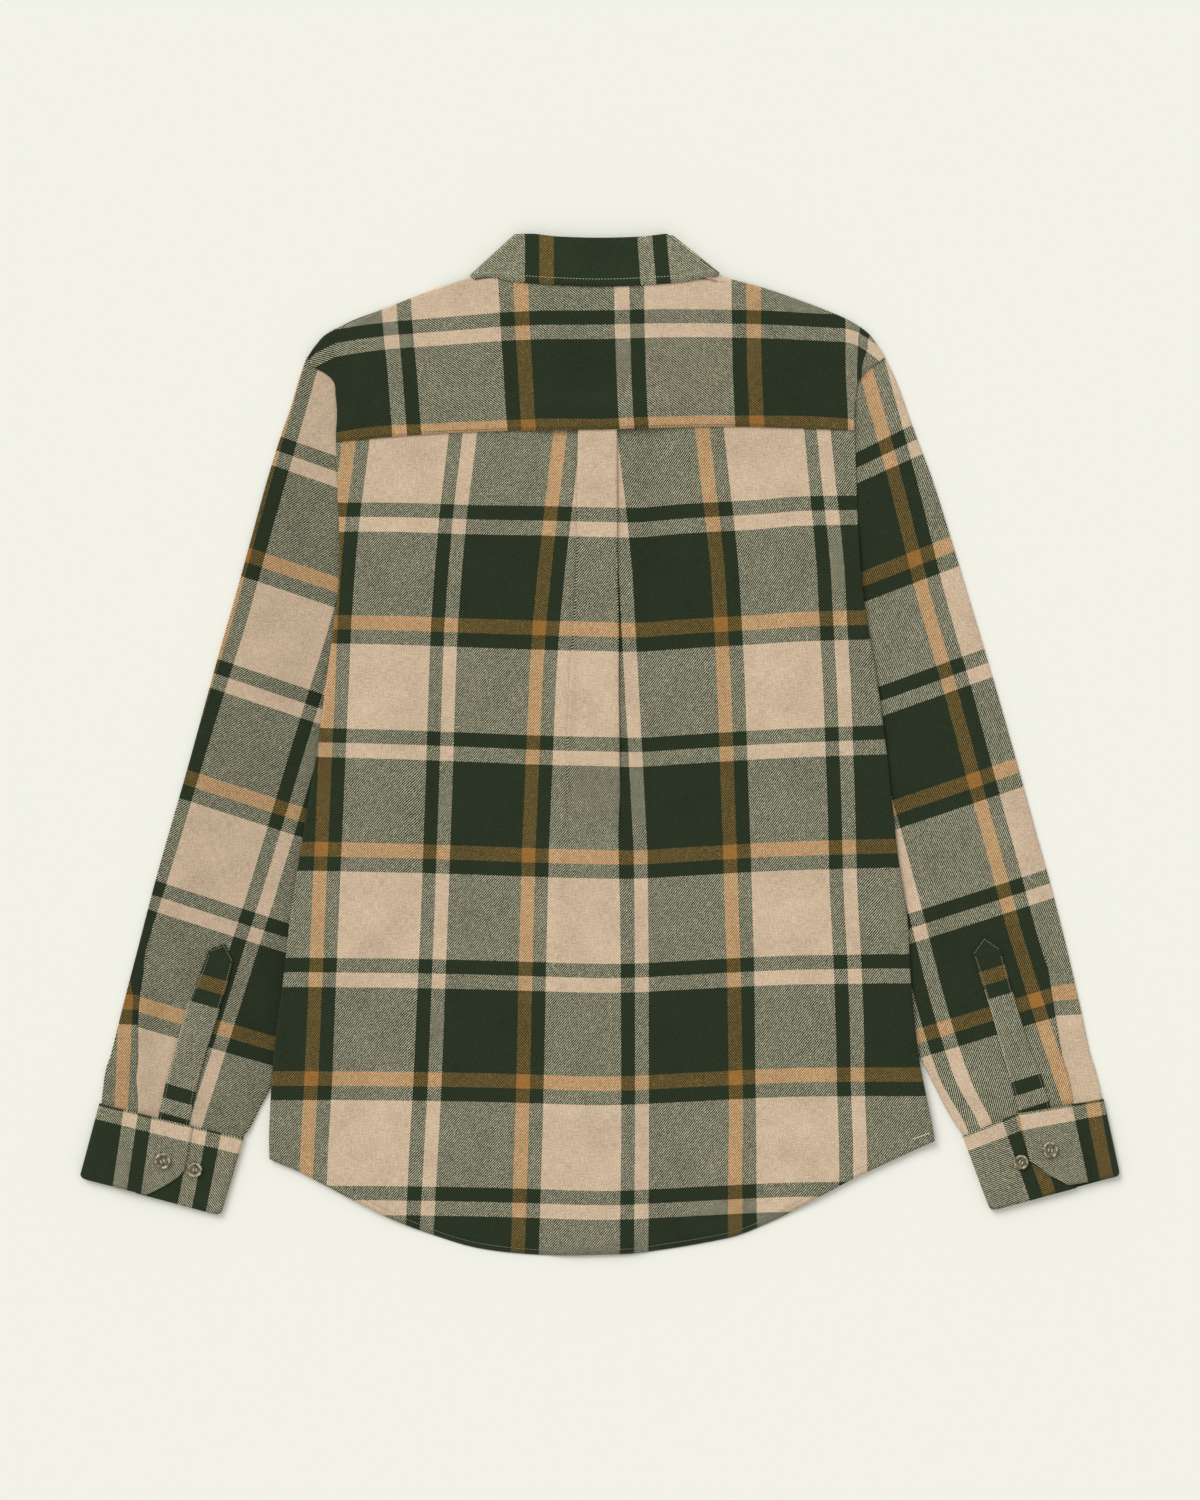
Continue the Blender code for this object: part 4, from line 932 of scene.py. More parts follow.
def sleeve(name, side, sections, cuff):
    cuff_outer, cuff_inner, along, to_hand = cuff_lines(cuff)
    rows = list(zip(*sections.values()))
    for past, outer_in, inner_in, rise in zip(*SLEEVE_END.values()):
        rows.append((*(cuff_outer + to_hand * past + along * outer_in),
                     *(cuff_inner + to_hand * past - along * inner_in), 1.0, cuff["pleat_in"], rise))
    keyed = columns_of(SLEEVE_NAMES, rows)
    down = walked(np.array(rows)[:, :4].reshape(-1, 2, 2).mean(axis=1))
    at = [curve(down, values, np.linspace(0.0, down[-1], SLEEVE_ROWS))[:, None]
          for values in keyed.values()]
    outer, inner = np.hstack(at[:2]), np.hstack(at[2:4])
    closed, crest, rise = at[4:]
    width = np.linalg.norm(inner - outer, axis=1, keepdims=True)
    across = (inner - outer) / width
    closed = np.clip(closed, 0.0, 1.0)
    radius = SLEEVE_LOFT / 2
    start = radius + CLOTH / 2
    stop = width - start
    upper = [(mix(width - radius * lie, stop + radius * math.cos(math.radians(degrees)), closed),
              mix(radius, radius * math.sin(math.radians(degrees)), closed))
             for degrees, lie in ((8, 0.0), (30, 0.6), (60, 1.3), (90, 2.0))]
    lower = [(place, -height) for place, height in upper]
    columns = SLEEVE_COLUMNS["lower"]
    lower += [(mix(stop, start, k / columns), -radius) for k in range(1, columns)]
    foot = np.minimum(crest + PLEAT_WIDTH, 0.5 * width)
    fold = np.clip(rise, 0.0, 1.0)
    columns = SLEEVE_COLUMNS["upper"]
    upper += [(mix(stop, foot, k / columns), radius) for k in range(1, columns + 1)]
    upper += [(mix(foot, crest + 1.0, k / 6), radius + rise * ease(k / 6)) for k in range(1, 7)]
    upper += [(crest + place * fold - spread * (1 - fold), radius + rise * share)
              for place, spread, share in PLEAT_TURN]
    hidden_from = len(upper) - 1
    upper += [(mix(crest - 1.6, start, k / 4), radius) for k in range(0, 4)]
    count = len(upper)
    turn = half_turn(start, -1, radius, 30)
    place, height = (np.hstack([part[k] + np.zeros_like(width)
                                for part in upper + turn + lower[::-1]]) for k in (0, 1))
    x = outer[:, :1] + across[:, :1] * place
    y = outer[:, 1:] + across[:, 1:] * place
    z = TABLE + radius + height + cuff_entry(x, y, cuff)
    rim = ease(np.minimum(place, width - place)[:, :count] / SLEEVE_RIM)
    z[:, :count] += rim * sleeve_relief(x[:, :count], y[:, :count], cuff)

    # The cloth runs on from the upper side round the edge to the under side
    u, v = sleeve_cut(side, x, y)
    edge = count + len(turn) // 2
    pivot_x, pivot_y = PLEAT_PIVOTS[side]
    outside = slice(hidden_from, edge + 1)
    away_x, away_y = x[:, outside] - pivot_x, y[:, outside] - pivot_y
    angle = side * math.radians(PLEAT_TURN_DEGREES) * ease(-away_y / PLEAT_TURNS_IN)
    on_edge = u[:, edge:edge + 1].copy(), v[:, edge:edge + 1].copy()
    u[:, outside], v[:, outside] = sleeve_cut(
        side, pivot_x + away_x * np.cos(angle) - away_y * np.sin(angle),
        pivot_y + away_x * np.sin(angle) + away_y * np.cos(angle))
    u[:, edge + 1:] = u[:, edge:edge + 1] + on_edge[0] - u[:, edge + 1:]
    v[:, edge + 1:] += v[:, edge:edge + 1] - on_edge[1]
    # The left sleeve gets the darker copy, which paints shade onto it.
    return sheet_of_cloth(name, np.stack([x, y, z], axis=-1), np.stack([u, v], axis=-1),
                          PAINTED_SHADE_FLANNEL if side < 0 else FLANNEL)


left_sleeve = sleeve("left_sleeve", -1, LEFT_SLEEVE, LEFT_CUFF)
right_sleeve = sleeve("right_sleeve", 1, RIGHT_SLEEVE, RIGHT_CUFF)


# %% [markdown]
# ## Small pieces of cloth
# Plackets, cuffs and collar are drafted with few points, and a spline through them gives the
# fine grid. A pointed placket binds the slit above each cuff.

# %% The plackets
def refine(grid, steps, smooth=False):
    """More points between the rows of a grid, on straight lines or on smooth curves."""
    count = len(grid)
    at = np.linspace(0.0, count - 1.0, (count - 1) * steps + 1)
    if smooth:
        gaps = np.linalg.norm(np.diff(grid, axis=0), axis=-1).mean(axis=1)
        keys = np.insert(np.cumsum(gaps), 0, 0.0)
        return curve(keys, grid, np.interp(at, np.arange(count), keys))
    i = np.minimum(at.astype(int), count - 2)
    return mix(grid[i], grid[i + 1], (at - i).reshape(-1, 1, 1))


PLACKET_NAMES = "left_x left_y mid_x mid_y right_x right_y"
LEFT_PLACKET = table(PLACKET_NAMES, """
    -312.1 -164 -299.6 -159.4 -292.9 -172.6, -318.4 -181 -306.6 -184 -296.2 -187,
    -329 -206.5 -317 -209.5 -304 -212, -338.4 -240.8 -327 -244.5 -315.4 -248,
    -347 -272 -335 -274.8 -323.2 -277.6, -353.2 -301 -341.2 -303.8 -329.2 -306.6""")
RIGHT_PLACKET = table(PLACKET_NAMES, """
    297.4 -166.4 306.6 -154 319.6 -163, 302.4 -182 313 -184 326.8 -188.4,
    311.6 -210 324 -213.6 335.2 -217.2, 319.6 -238 331.2 -241.6 344 -245.2,
    328 -268 340.8 -270 352.8 -266, 335.6 -298 347.8 -296 360.4 -293""")
PLACKET_RISE = 0.1
PLACKET_WARP = 113.0   # place of a placket's middle in the wide green stripe
PLACKET_SPREAD = 1.005


def placket(name, shape, cuff, orange_y):
    """orange_y is where the orange stripe of the weft starts on the placket's middle."""
    fine = refine(np.array(list(shape.values())).T.reshape(-1, 3, 2), 10)
    fine = refine(fine.swapaxes(0, 1), 6).swapaxes(0, 1)
    x, y = fine[..., 0], fine[..., 1]
    z = TABLE + SLEEVE_LOFT + LAYER + PLACKET_RISE + cuff_entry(x, y, cuff)
    z += sleeve_relief(x, y, cuff)
    middle = fine[:, fine.shape[1] // 2]
    way = unit(middle[-1] - middle[12])
    down = (fine - middle[0]) @ way - (orange_y - middle[0, 1]) / way[1]
    u = PLACKET_WARP + (fine - middle[:, None]) @ np.array((-way[1], way[0]))
    cut = np.stack([u, WEFT_ORANGE[0] + down * PLACKET_SPREAD], axis=-1)
    return sheet_of_cloth(name, np.stack([x, y, z], axis=-1), cut)


left_placket = placket("left_placket", LEFT_PLACKET, LEFT_CUFF, -186.5)
right_placket = placket("right_placket", RIGHT_PLACKET, RIGHT_CUFF, -178.4)


# %% [markdown]
# ## Cuffs
# A cuff is a band round the end of the sleeve. Its mitred end laps over the other one, and
# two buttons sit on it. Its warp runs across the band, as in the yoke.

# %% The cuffs
TAB_CORNER_AT = 0.55
CLIMB_FROM = 0.22      # share of the band's width where the tab starts to climb over it
CLIMB_BEFORE = 12.0    # the climb is over this much before the end that lies under the tab
CORNER = 5.0           # radius of the cuff's lower corners
CORNER_FROM = 0.8      # share of the cuff's height where its lower corners start
TAB_SHORT_FROM = 0.7   # the tab's lower edge lies a little above the band's from here on
CUFF_WARP_TOP = 75.0   # place of a cuff's top edge in the warp
UNDER_POINTS = 18      # points along the end that lies under the tab
TAB_POINTS = 23        # points along the tab


def cuff(name, shape, on_tab, on_band):
    """on_tab and on_band: one stripe of the weft on each, by the share of the cuff's width
    where it meets the top edge and the lower edge, and by its place in the cloth."""
    radius = CUFF_LOFT / 2
    skin = radius + CLOTH / 2
    to_hand = cuff_lines(shape)[3]
    corners = {key: np.array(shape[key]) for key in shape if key[:5] in ("outer", "inner")}
    levels = refine(np.array((-0.02, 0.27, TAB_CORNER_AT, 0.78, 1.0)).reshape(-1, 1, 1), 5).ravel()
    rows, walks = [], []
    for v in levels:
        outer, inner = (mix(corners[end + "_top"], corners[end + "_low"], v)
                        for end in ("outer", "inner"))
        width = np.linalg.norm(inner - outer)
        across = (inner - outer) / width
        mitre = max(0.0, (v - TAB_CORNER_AT) / (1 - TAB_CORNER_AT)) ** shape["mitre_bend"]
        tab_end = mix(shape["tab_top"], shape["tab_corner"], min(v / TAB_CORNER_AT, 1.0))
        tab_end = mix(tab_end, shape["tab_mitre"], mitre) * width
        under_end = shape["under_end"] * width
        climb_start, climb_end = CLIMB_FROM * width, under_end - CLIMB_BEFORE
        path = [(mix(under_end, width - skin, k / UNDER_POINTS), radius)
                for k in range(UNDER_POINTS)]
        path += half_turn(width - skin, 1, radius, 20)
        path += [(mix(width - skin, skin, k / 24), -radius) for k in range(1, 24)]
        path += half_turn(skin, -1, -radius, 20)
        tab_from = len(path) - 1
        path += [(mix(skin, climb_start, k / 5), radius) for k in range(1, 5)]
        path += [(mix(climb_start, climb_end, k / 6), radius + LAYER * ease(k / 6))
                 for k in range(6)]
        path += [(mix(climb_end, tab_end, k / 12), radius + LAYER) for k in range(13)]
        path = np.array(path)
        share = path[:, :1] / width
        lower = shape["tab_short"] * max(0.0, (v - TAB_SHORT_FROM) / (1 - TAB_SHORT_FROM))
        lower = lower * np.clip((path[:, :1] - skin) / (tab_end - skin), 0.0, 1.0)
        lower[:-TAB_POINTS] = 0.0
        from_corner = np.clip(1 - np.minimum(share, 1 - share) * width / CORNER, 0.0, 1.0)
        lower += (1 - v) * top_bend(shape, share)
        corner_share = ease((v - CORNER_FROM) / (1 - CORNER_FROM))
        lower += CORNER * (1 - np.sqrt(1 - from_corner ** 2)) * corner_share
        plan = outer + across * path[:, :1] - to_hand * lower
        rows.append(np.column_stack([plan, TABLE + radius + path[:, 1]]))
        walk = walked(path)
        anchors = []
        for stripe, part in ((on_tab, slice(tab_from, None)), (on_band, slice(0, UNDER_POINTS))):
            order = np.argsort(path[part, 0])
            anchors.append(np.interp(mix(stripe[0], stripe[1], v) * width,
                                     path[part, 0][order], walk[part][order]))
        past = walk - anchors[0]
        spread = (on_band[2] - on_tab[2]) / ((anchors[1] - anchors[0]) * shape["outer_spread"])
        walks.append(on_tab[2] + spread * past * np.where(past < 0, shape["outer_spread"], 1.0))
    height = np.linalg.norm(corners["outer_low"] - corners["outer_top"])
    u = CUFF_WARP_TOP + levels[:, None] * height + np.zeros_like(walks)
    return sheet_of_cloth(name, np.array(rows), np.stack([u, walks], axis=-1))


left_cuff = cuff("left_cuff", LEFT_CUFF, (0.370, 0.437, 0.0), (0.847, 0.896, WEFT_REPEAT))
right_cuff = cuff("right_cuff", RIGHT_CUFF, (0.226, 0.247, -69.0),
                  (0.713, 0.696, -69.0 - WEFT_REPEAT))


# %% [markdown]
# ## Collar
# The collar stand is the band round the neck, and the fall is the leaf that folds over it.
# Both are rings that were pressed flat: the back half lies on top, and the front halves with
# the two points lie on the table.

# %% Sections of the collar
RING_NAMES = "fold_x fold_y edge_x edge_y stand_x stand_y seam_x seam_y"
COLLAR = table(RING_NAMES, """
    4 312 52 258 -12 306 -12 279, 22 318 66 286 6 306.6 8 279.2, 42 334 80 315 25 313 36 289,
    57 356 92 343 46 331 64 311, 64 383 98 362 58.5 358 82 343""")
COLLAR_SIDE = table(RING_NAMES, """
    -68.8 407.1 -104 375 -64 399.5 -86 381, 58.6 406.2 95.6 377 54 399 80 382""")
COLLAR_BACK = table(RING_NAMES, """
    53 407.1 86 373 49 400.2 68 378.6, 46 406.4 70 369.8 40 399.8 53 374.8,
    34 405 42 367.2 26 398.8 30 373.6, 0 404 0 365.6 0 398.2 0 373""")
LIP = 6.0              # how far the fall turns in over its top fold
MID_TURN = 4           # which of the fall's lines is the middle of that turn
STAND_INSET = 3.4
LIFTED_SECTIONS = 3    # sections of the stand's right end, which laps over its left one


def ring(names, inset, start_z, end_z, end_lift):
    """Sections of a flattened ring, each an upper and a lower point, between its two ends."""
    radius = (end_z - start_z) / 2

    def pair(columns, k, sign, height):
        upper_x, upper_y, lower_x, lower_y = (columns[name][k] for name in names.split())
        return np.array(((sign * upper_x, upper_y, height), (sign * lower_x, lower_y, height)))

    halves = []
    for sign in (-1, 1):
        lifts = [end_lift if sign > 0 and k < LIFTED_SECTIONS else 0.0 for k in range(5)]
        half = [pair(COLLAR, k, sign, start_z + lift) for k, lift in enumerate(lifts)]
        side = pair(COLLAR_SIDE, (sign + 1) // 2, 1, (start_z + end_z) / 2)
        way = unit(side[0] - side[1])
        for degrees in range(-90, 91, 30):
            out = sign * (radius * math.cos(math.radians(degrees)) - inset)
            shift = np.array(((out, 0.0, 0.0), (out * way[1], -out * way[0], 0.0)))
            half.append(side + shift + (0.0, 0.0, radius * math.sin(math.radians(degrees))))
        halves.append(half + [pair(COLLAR_BACK, k, sign, end_z) for k in range(3)])
    return np.array(halves[0] + [pair(COLLAR_BACK, 3, 1, end_z)] + halves[1][::-1])


# %% The collar's fall and stand
FALL_WARP_TOP = 94.0   # place of the fall's top fold in the warp
CENTRE_WEFT = -128.9   # place of the centre back in the weft
COLLAR_LEAN = 0.09     # how much the weft leans towards the right of the collar
GRAIN_REACH = 15       # columns to each side that the grain's direction is taken over
SECTION_STEPS = 6      # columns of points from one section of a ring to the next
LINE_STEPS = 2         # rows of points from one line round a ring to the next


def ring_of_cloth(name, lines, fold_line, flat_z, finish):
    """A ring from lines round it. v runs along its fold from the centre, and u down from it.

    The upper half lies flat at flat_z, so there they are its own lengths across and down.
    """
    columns = refine(np.stack(lines, axis=1), SECTION_STEPS, True)
    grid = refine(columns.swapaxes(0, 1), LINE_STEPS)
    fold_row = fold_line * LINE_STEPS
    fold = grid[fold_row]
    count = np.arange(len(fold))
    ahead, behind = (np.clip(count + side * GRAIN_REACH, 0, count[-1]) for side in (1, -1))
    along = unit(fold[ahead] - fold[behind])
    past = ((grid - fold) * along).sum(axis=-1)
    walk = walked(fold)
    walk = walk - walk[len(walk) // 2] + past
    down = np.linalg.norm(grid - fold - past[..., None] * along, axis=-1)
    down *= np.sign(np.arange(len(grid)) - fold_row)[:, None]
    level = ease((grid[..., 2] - flat_z + 2.4) / 2.0)
    level[:fold_row] = 0.0
    below = fold[len(fold) // 2, 1] - grid[..., 1]
    leant = grid[..., 0] - COLLAR_LEAN * below * ease(grid[..., 0] / 45.0)
    cut = [FALL_WARP_TOP + mix(down, below, level), CENTRE_WEFT - mix(walk, leant, level)]
    return sheet_of_cloth(name, grid, np.stack(cut, axis=-1), finish)


def collar_fall():
    sections = ring("fold_x fold_y edge_x edge_y", (COLLAR_TOP_Z - TABLE + CLOTH) / 2,
                    TABLE, COLLAR_TOP_Z, 0.0)
    upper, lower = sections[:, 0], sections[:, 1]
    turn = LAYER / 2
    down = unit(lower - upper)
    around = unit(np.concatenate([upper[1:], upper[-1:]]) - np.concatenate([upper[:1], upper[:-1]]))
    inside = unit(np.cross(around, down))
    top = upper + down * turn
    lines = [top + down * LIP + inside * LAYER]
    for degrees in range(90, -91, -30):
        angle = math.radians(degrees)
        lines.append(top + inside * turn * (1 + math.sin(angle)) - down * turn * math.cos(angle))
    lines += [mix(top, lower, t) for t in (0.2, 0.4, 0.6, 0.8, 1.0)]
    # The fall gets the lighter copy, which paints light onto it.
    return ring_of_cloth("collar_leaf", lines, MID_TURN, COLLAR_TOP_Z, PAINTED_LIGHT_FLANNEL)


def collar_stand():
    sections = ring("stand_x stand_y seam_x seam_y", STAND_INSET, STAND_FRONT_Z, STAND_BACK_Z,
                    LAYER)
    lines = [mix(sections[:, 0], sections[:, 1], t) for t in (0, 0.25, 0.5, 0.75, 1)]
    return ring_of_cloth("collar_band", lines, 0, STAND_BACK_Z, FLANNEL)


collar_leaf = collar_fall()
collar_band = collar_stand()


# %% [markdown]
# ## Sewing
# A lockstitch shows as a row of short threads sunk a little into the cloth. One node tree
# lays them along any line; its inputs are the pitch, the size of a stitch and the thread.

# %% The tree that lays stitches along a line
STITCH_INPUTS = (("Geometry", "Geometry"), ("Pitch", "Float"), ("Length", "Float"),
                 ("Thickness", "Float"), ("Thread", "Material"))


def stitch_tree():
    """Mesh line in, separate stitches out."""
    tree = bpy.data.node_groups.new("stitch_row", "GeometryNodeTree")
    for name, kind in STITCH_INPUTS:
        tree.interface.new_socket(name, in_out="INPUT", socket_type="NodeSocket" + kind)
    tree.interface.new_socket("Geometry", in_out="OUTPUT", socket_type="NodeSocketGeometry")
    given = tree.nodes.new("NodeGroupInput").outputs
    route, pitch, length, thick, colour = (Wire(tree, given[k]) for k in range(5))
    start = Wire(tree)
    route = start.node("GeometryNodeMeshToCurve", {"Mesh": route})
    even = start.node("GeometryNodeResampleCurve", {"Curve": route, "Length": pitch},
                      mode="LENGTH")
    tangent = start.node("GeometryNodeInputTangent", {})
    turn = start.node("FunctionNodeAlignRotationToVector", {"Vector": tangent}, axis="X")
    ball = start.node("GeometryNodeMeshUVSphere", {"Segments": 8, "Rings": 5, "Radius": 0.5})
    size = start.node("ShaderNodeCombineXYZ", {0: length, 1: thick, 2: thick})
    laid = start.node("GeometryNodeInstanceOnPoints",
                      {"Points": even, "Instance": ball, "Rotation": turn, "Scale": size})
    real = start.node("GeometryNodeRealizeInstances", {"Geometry": laid})
    real = start.node("GeometryNodeSetMaterial", {"Geometry": real, "Material": colour})
    start.feed(tree.nodes.new("NodeGroupOutput"), {"Geometry": real})
    return tree


STITCHES = stitch_tree()
PALE_THREAD, SAGE_THREAD, STONE_THREAD, DARK_THREAD_AND_SHADOW_LINE = (
    material(name, lambda start: {"Base Color": linear(*colour), "Roughness": 0.7,
                                  "Specular IOR Level": 0.2})
    for name, colour in (("pale_thread", (206, 204, 180)), ("sage_thread", (128, 142, 116)),
                         ("stone_thread", (184, 178, 150)), ("dark_thread_and_shadow_line", (66, 70, 48))))
print("stitch tree has", len(STITCHES.nodes), "nodes")


# %% Lines on a piece of cloth
def outer_face(name, share, up):
    """The face of a piece that is its right side: the upper or lower one at share of its grid."""
    faces = skins(GRIDS[name])
    column = round(share * (faces[0].shape[1] - 1))
    heights = [face[:, column, 2].mean() for face in faces]
    return faces[int((heights[1] > heights[0]) == up)]


def inside_edge(face, edge, distance, low, high):
    """Points at a distance inside one edge of a face, between two shares of that edge."""
    face = edge_first(face, edge)
    walk = walked(face)
    last = face.shape[1] - 1
    return np.array([[np.interp(distance, walk[:, k], face[:, k, axis]) for axis in range(3)]
                     for k in range(round(low * last), round(high * last) + 1)])


def sew(name, lines, finish, pitch, length, thick):
    """Rows of stitches along lines of points in millimetres."""
    points = np.concatenate(lines)
    points[:, 2] = np.maximum(points[:, 2], thick / 2)
    ends = np.cumsum([len(one) for one in lines])
    edges = [(k, k + 1) for k in range(len(points) - 1) if k + 1 not in ends]
    made = mesh_object(name, points * MM, [], edges)
    modifier = made.modifiers.new("stitches", "NODES")
    modifier.node_group = STITCHES
    given = {"Pitch": pitch * MM, "Length": length * MM, "Thickness": thick * MM,
             "Thread": finish}
    for item in STITCHES.interface.items_tree:
        if item.in_out == "INPUT" and item.name in given:
            modifier[item.identifier] = given[item.name]
    graph = bpy.context.evaluated_depsgraph_get()
    made.data = bpy.data.meshes.new_from_object(made.evaluated_get(graph))
    made.modifiers.clear()
    made.data.shade_smooth()
    print(name, "has", len(made.data.polygons), "faces")
    return made


# %% [markdown]
# ## The rows of stitches
# The collar and the plackets are edge-stitched in a pale thread that shows on the green, the
# hems and the cuffs' tabs in a quieter one. A dark thread runs along the yoke seam and along the
# cuffs' top and lower edges, where it also paints the shadow line along those edges. A close pale
# line just inside each placket's edge paints a highlight there. A short bar of thread holds the
# corner of the hem.

# %% Stitches on every piece
EDGE_STITCH = 1.6              # distance of a line of stitches from an edge
WIDE_STITCH = 5.7
STRIP_STITCHES = (3.0, 30.0)   # two lines along the strip of buttons
BAR_ENDS = ((250.8, 261.8), (-314.9, -310.6))   # x and y of the bar's two ends
FINE = (2.3, 1.6, 0.42)        # pitch, length and thickness of a stitch
BOLD = (2.5, 1.7, 0.46)
SEWN = {}                      # the stitches on each piece


def sew_piece(piece, share, up, name, lines, finish, size):
    """Stitches on a piece. Each line has an edge, its distance from it and two shares of it."""
    face = outer_face(piece, share, up)
    made = sew(name, [inside_edge(face, *one) for one in lines], finish, *size)
    SEWN.setdefault(piece, []).append(made)


def hem_bar():
    """The bar of thread at one corner of the hem."""
    x, y = (np.linspace(*ends, 12) for ends in BAR_ENDS)
    z = back_height(x, y) + HEM_RISE + CLOTH / 2 + 0.15
    return np.stack([x, y, z], axis=-1)


sew_piece("back", 0.3, True, "hem_stitches", [("foot", WIDE_STITCH, 0.05, 0.95)],
          SAGE_THREAD, (2.2, 1.7, 0.5))
SEWN["back"].append(sew("hem_bar", [hem_bar()], PALE_THREAD, 1.5, 2.6, 1.0))
sew_piece("yoke", 0.5, True, "yoke_stitches", [("foot", EDGE_STITCH, 0.01, 0.99)],
          DARK_THREAD_AND_SHADOW_LINE, FINE)
sew_piece("collar_leaf", 0.5, True, "collar_stitches",
          [(edge, WIDE_STITCH, 0.02, 0.98) for edge in ("foot", "start", "end")],
          PALE_THREAD, BOLD)
for side in ("left", "right"):
    piece = side + "_placket"
    sew_piece(piece, 0.5, True, piece + "_stitches",
              [("start", EDGE_STITCH, 0.06, 1.0), ("end", EDGE_STITCH, 0.06, 1.0),
               ("head", EDGE_STITCH, 0.12, 0.88)], STONE_THREAD, (2.1, 1.5, 0.34))
    # A close pale line just inside the placket's edge is a painted highlight along that edge.
    sew_piece(piece, 0.5, True, piece + "_edge", [("start", 0.3, 0.3, 0.78)],
              PALE_THREAD, (0.9, 1.5, 0.36))
    piece = side + "_cuff"
    # Dark thread along the cuff's top and lower edges is stitching that also paints the shadow line
    # there.
    sew_piece(piece, 1.0, True, piece + "_stitches",
              [("head", EDGE_STITCH, 0.03, 0.97), ("foot", EDGE_STITCH, 0.03, 0.97)],
              DARK_THREAD_AND_SHADOW_LINE, (2.3, 1.6, 0.36))
    sew_piece(piece, 1.0, True, side + "_tab_stitches", [("end", EDGE_STITCH, 0.03, 0.97)],
              STONE_THREAD, (2.3, 1.6, 0.34))
    piece = side + "_front"
    sew_piece(piece, 0.5, False, piece + "_stitches",
              [("start", distance, 0.04, 0.98) for distance in STRIP_STITCHES]
              + [("foot", WIDE_STITCH, 0.03, 0.9)], SAGE_THREAD, FINE)


# %% [markdown]
# ## Buttons
# A resin button is turned from a rod: a rounded rim stands round a dish with four holes, and
# pale thread holds it. One button of radius 1 and height 1 is made, and every button is a
# copy of it at its own size.

# %% One button
BUTTON_PROFILE = (
    (0.0, 0.0), (0.72, 0.0), (0.86, 0.04), (0.95, 0.17), (0.99, 0.35), (1.0, 0.5), (0.985, 0.7),
    (0.95, 0.86), (0.90, 0.96), (0.84, 1.0), (0.78, 0.98), (0.73, 0.9), (0.69, 0.78),
    (0.64, 0.7), (0.56, 0.66), (0.40, 0.63), (0.0, 0.62))
BUTTON_TURNS = 64
DISH = 0.7             # the dish starts inside this radius
DISH_HEIGHT = 0.64
HOLE_AT = 0.19
HOLE_RADIUS = 0.095
HOLE_TURNS = 16


def resin(start, dark, light):
    """Cloudy polished resin."""
    place = start.node("ShaderNodeTexCoord", {}, 3)
    cloud = (start.noise(place, 330.0, 3.0, 0.6) - 0.40) * 4.5
    return {"Base Color": start.blend(cloud, linear(*dark), linear(*light)), "Roughness": 0.2,
            "Coat Weight": 0.6, "Coat Roughness": 0.08}


def turned(profile, turns, middle_x=0.0, middle_y=0.0):
    """Points and faces of a closed turned body; its profile starts and ends on the axis."""
    angles = [math.tau * k / turns for k in range(turns)]
    points = [(middle_x, middle_y, profile[0][1])]
    points += [(middle_x + radius * math.cos(angle), middle_y + radius * math.sin(angle), height)
               for radius, height in profile[1:-1] for angle in angles]
    points.append((middle_x, middle_y, profile[-1][1]))
    last = len(points) - 1 - turns
    faces = []
    for k in range(turns):
        after = (k + 1) % turns
        faces += [(0, 1 + after, 1 + k), (len(points) - 1, last + k, last + after)]
        faces += [(low + k, low + after, low + turns + after, low + turns + k)
                  for low in range(1, last, turns)]
    return points, faces


def button_pattern():
    """The mesh that every button is a copy of."""
    body = mesh_object("button_pattern", *turned(BUTTON_PROFILE, BUTTON_TURNS))
    profile = ((0, -0.2), (HOLE_RADIUS, -0.2), (HOLE_RADIUS, 1.2), (0, 1.2))
    drill_points, drill_faces = [], []
    for x, y in ((1, 1), (1, -1), (-1, 1), (-1, -1)):
        points, faces = turned(profile, HOLE_TURNS, x * HOLE_AT, y * HOLE_AT)
        drill_faces += [tuple(k + len(drill_points) for k in face) for face in faces]
        drill_points += points
    drill = mesh_object("button_drill", drill_points, drill_faces)
    holes = body.modifiers.new("holes", "BOOLEAN")
    holes.operation = "DIFFERENCE"
    holes.solver = "EXACT"
    holes.object = drill
    graph = bpy.context.evaluated_depsgraph_get()
    mesh = bpy.data.meshes.new_from_object(body.evaluated_get(graph))
    for made in (body, drill):
        bpy.data.objects.remove(made)
    mesh.materials.clear()
    # The lighter rim is a painted highlight, and the darker dish is painted shade in the hollow.
    for name, dark, light in (("resin_rim_painted_highlight", (84, 77, 50), (186, 178, 144)),
                              ("resin_dish_painted_shade", (57, 51, 31), (114, 105, 74))):
        mesh.materials.append(material(name, lambda start: resin(start, dark, light)))
    for face in mesh.polygons:
        face.material_index = int(math.hypot(face.center.x, face.center.y) < DISH)
    mesh.shade_smooth()
    mesh.set_sharp_from_angle(angle=math.radians(50))
    return mesh


BUTTON = button_pattern()
print("button pattern has", len(BUTTON.polygons), "faces")


# %% Every button and its thread
FIRST_BUTTON_Y = 215.0
BUTTON_SPACING = 92.0
COLLAR_BUTTON_Y = 293.0
BUTTON_WIDE = 11.5
CUFF_BUTTON_WIDE = 13.0
CUFF_LINK_WIDE = 11.8
CUFF_BUTTON_THICK = 2.6
THREAD_RISE = 0.2
THREAD_APART = 0.03    # two threads lie this far to each side of the holes' line
BUTTONS = []


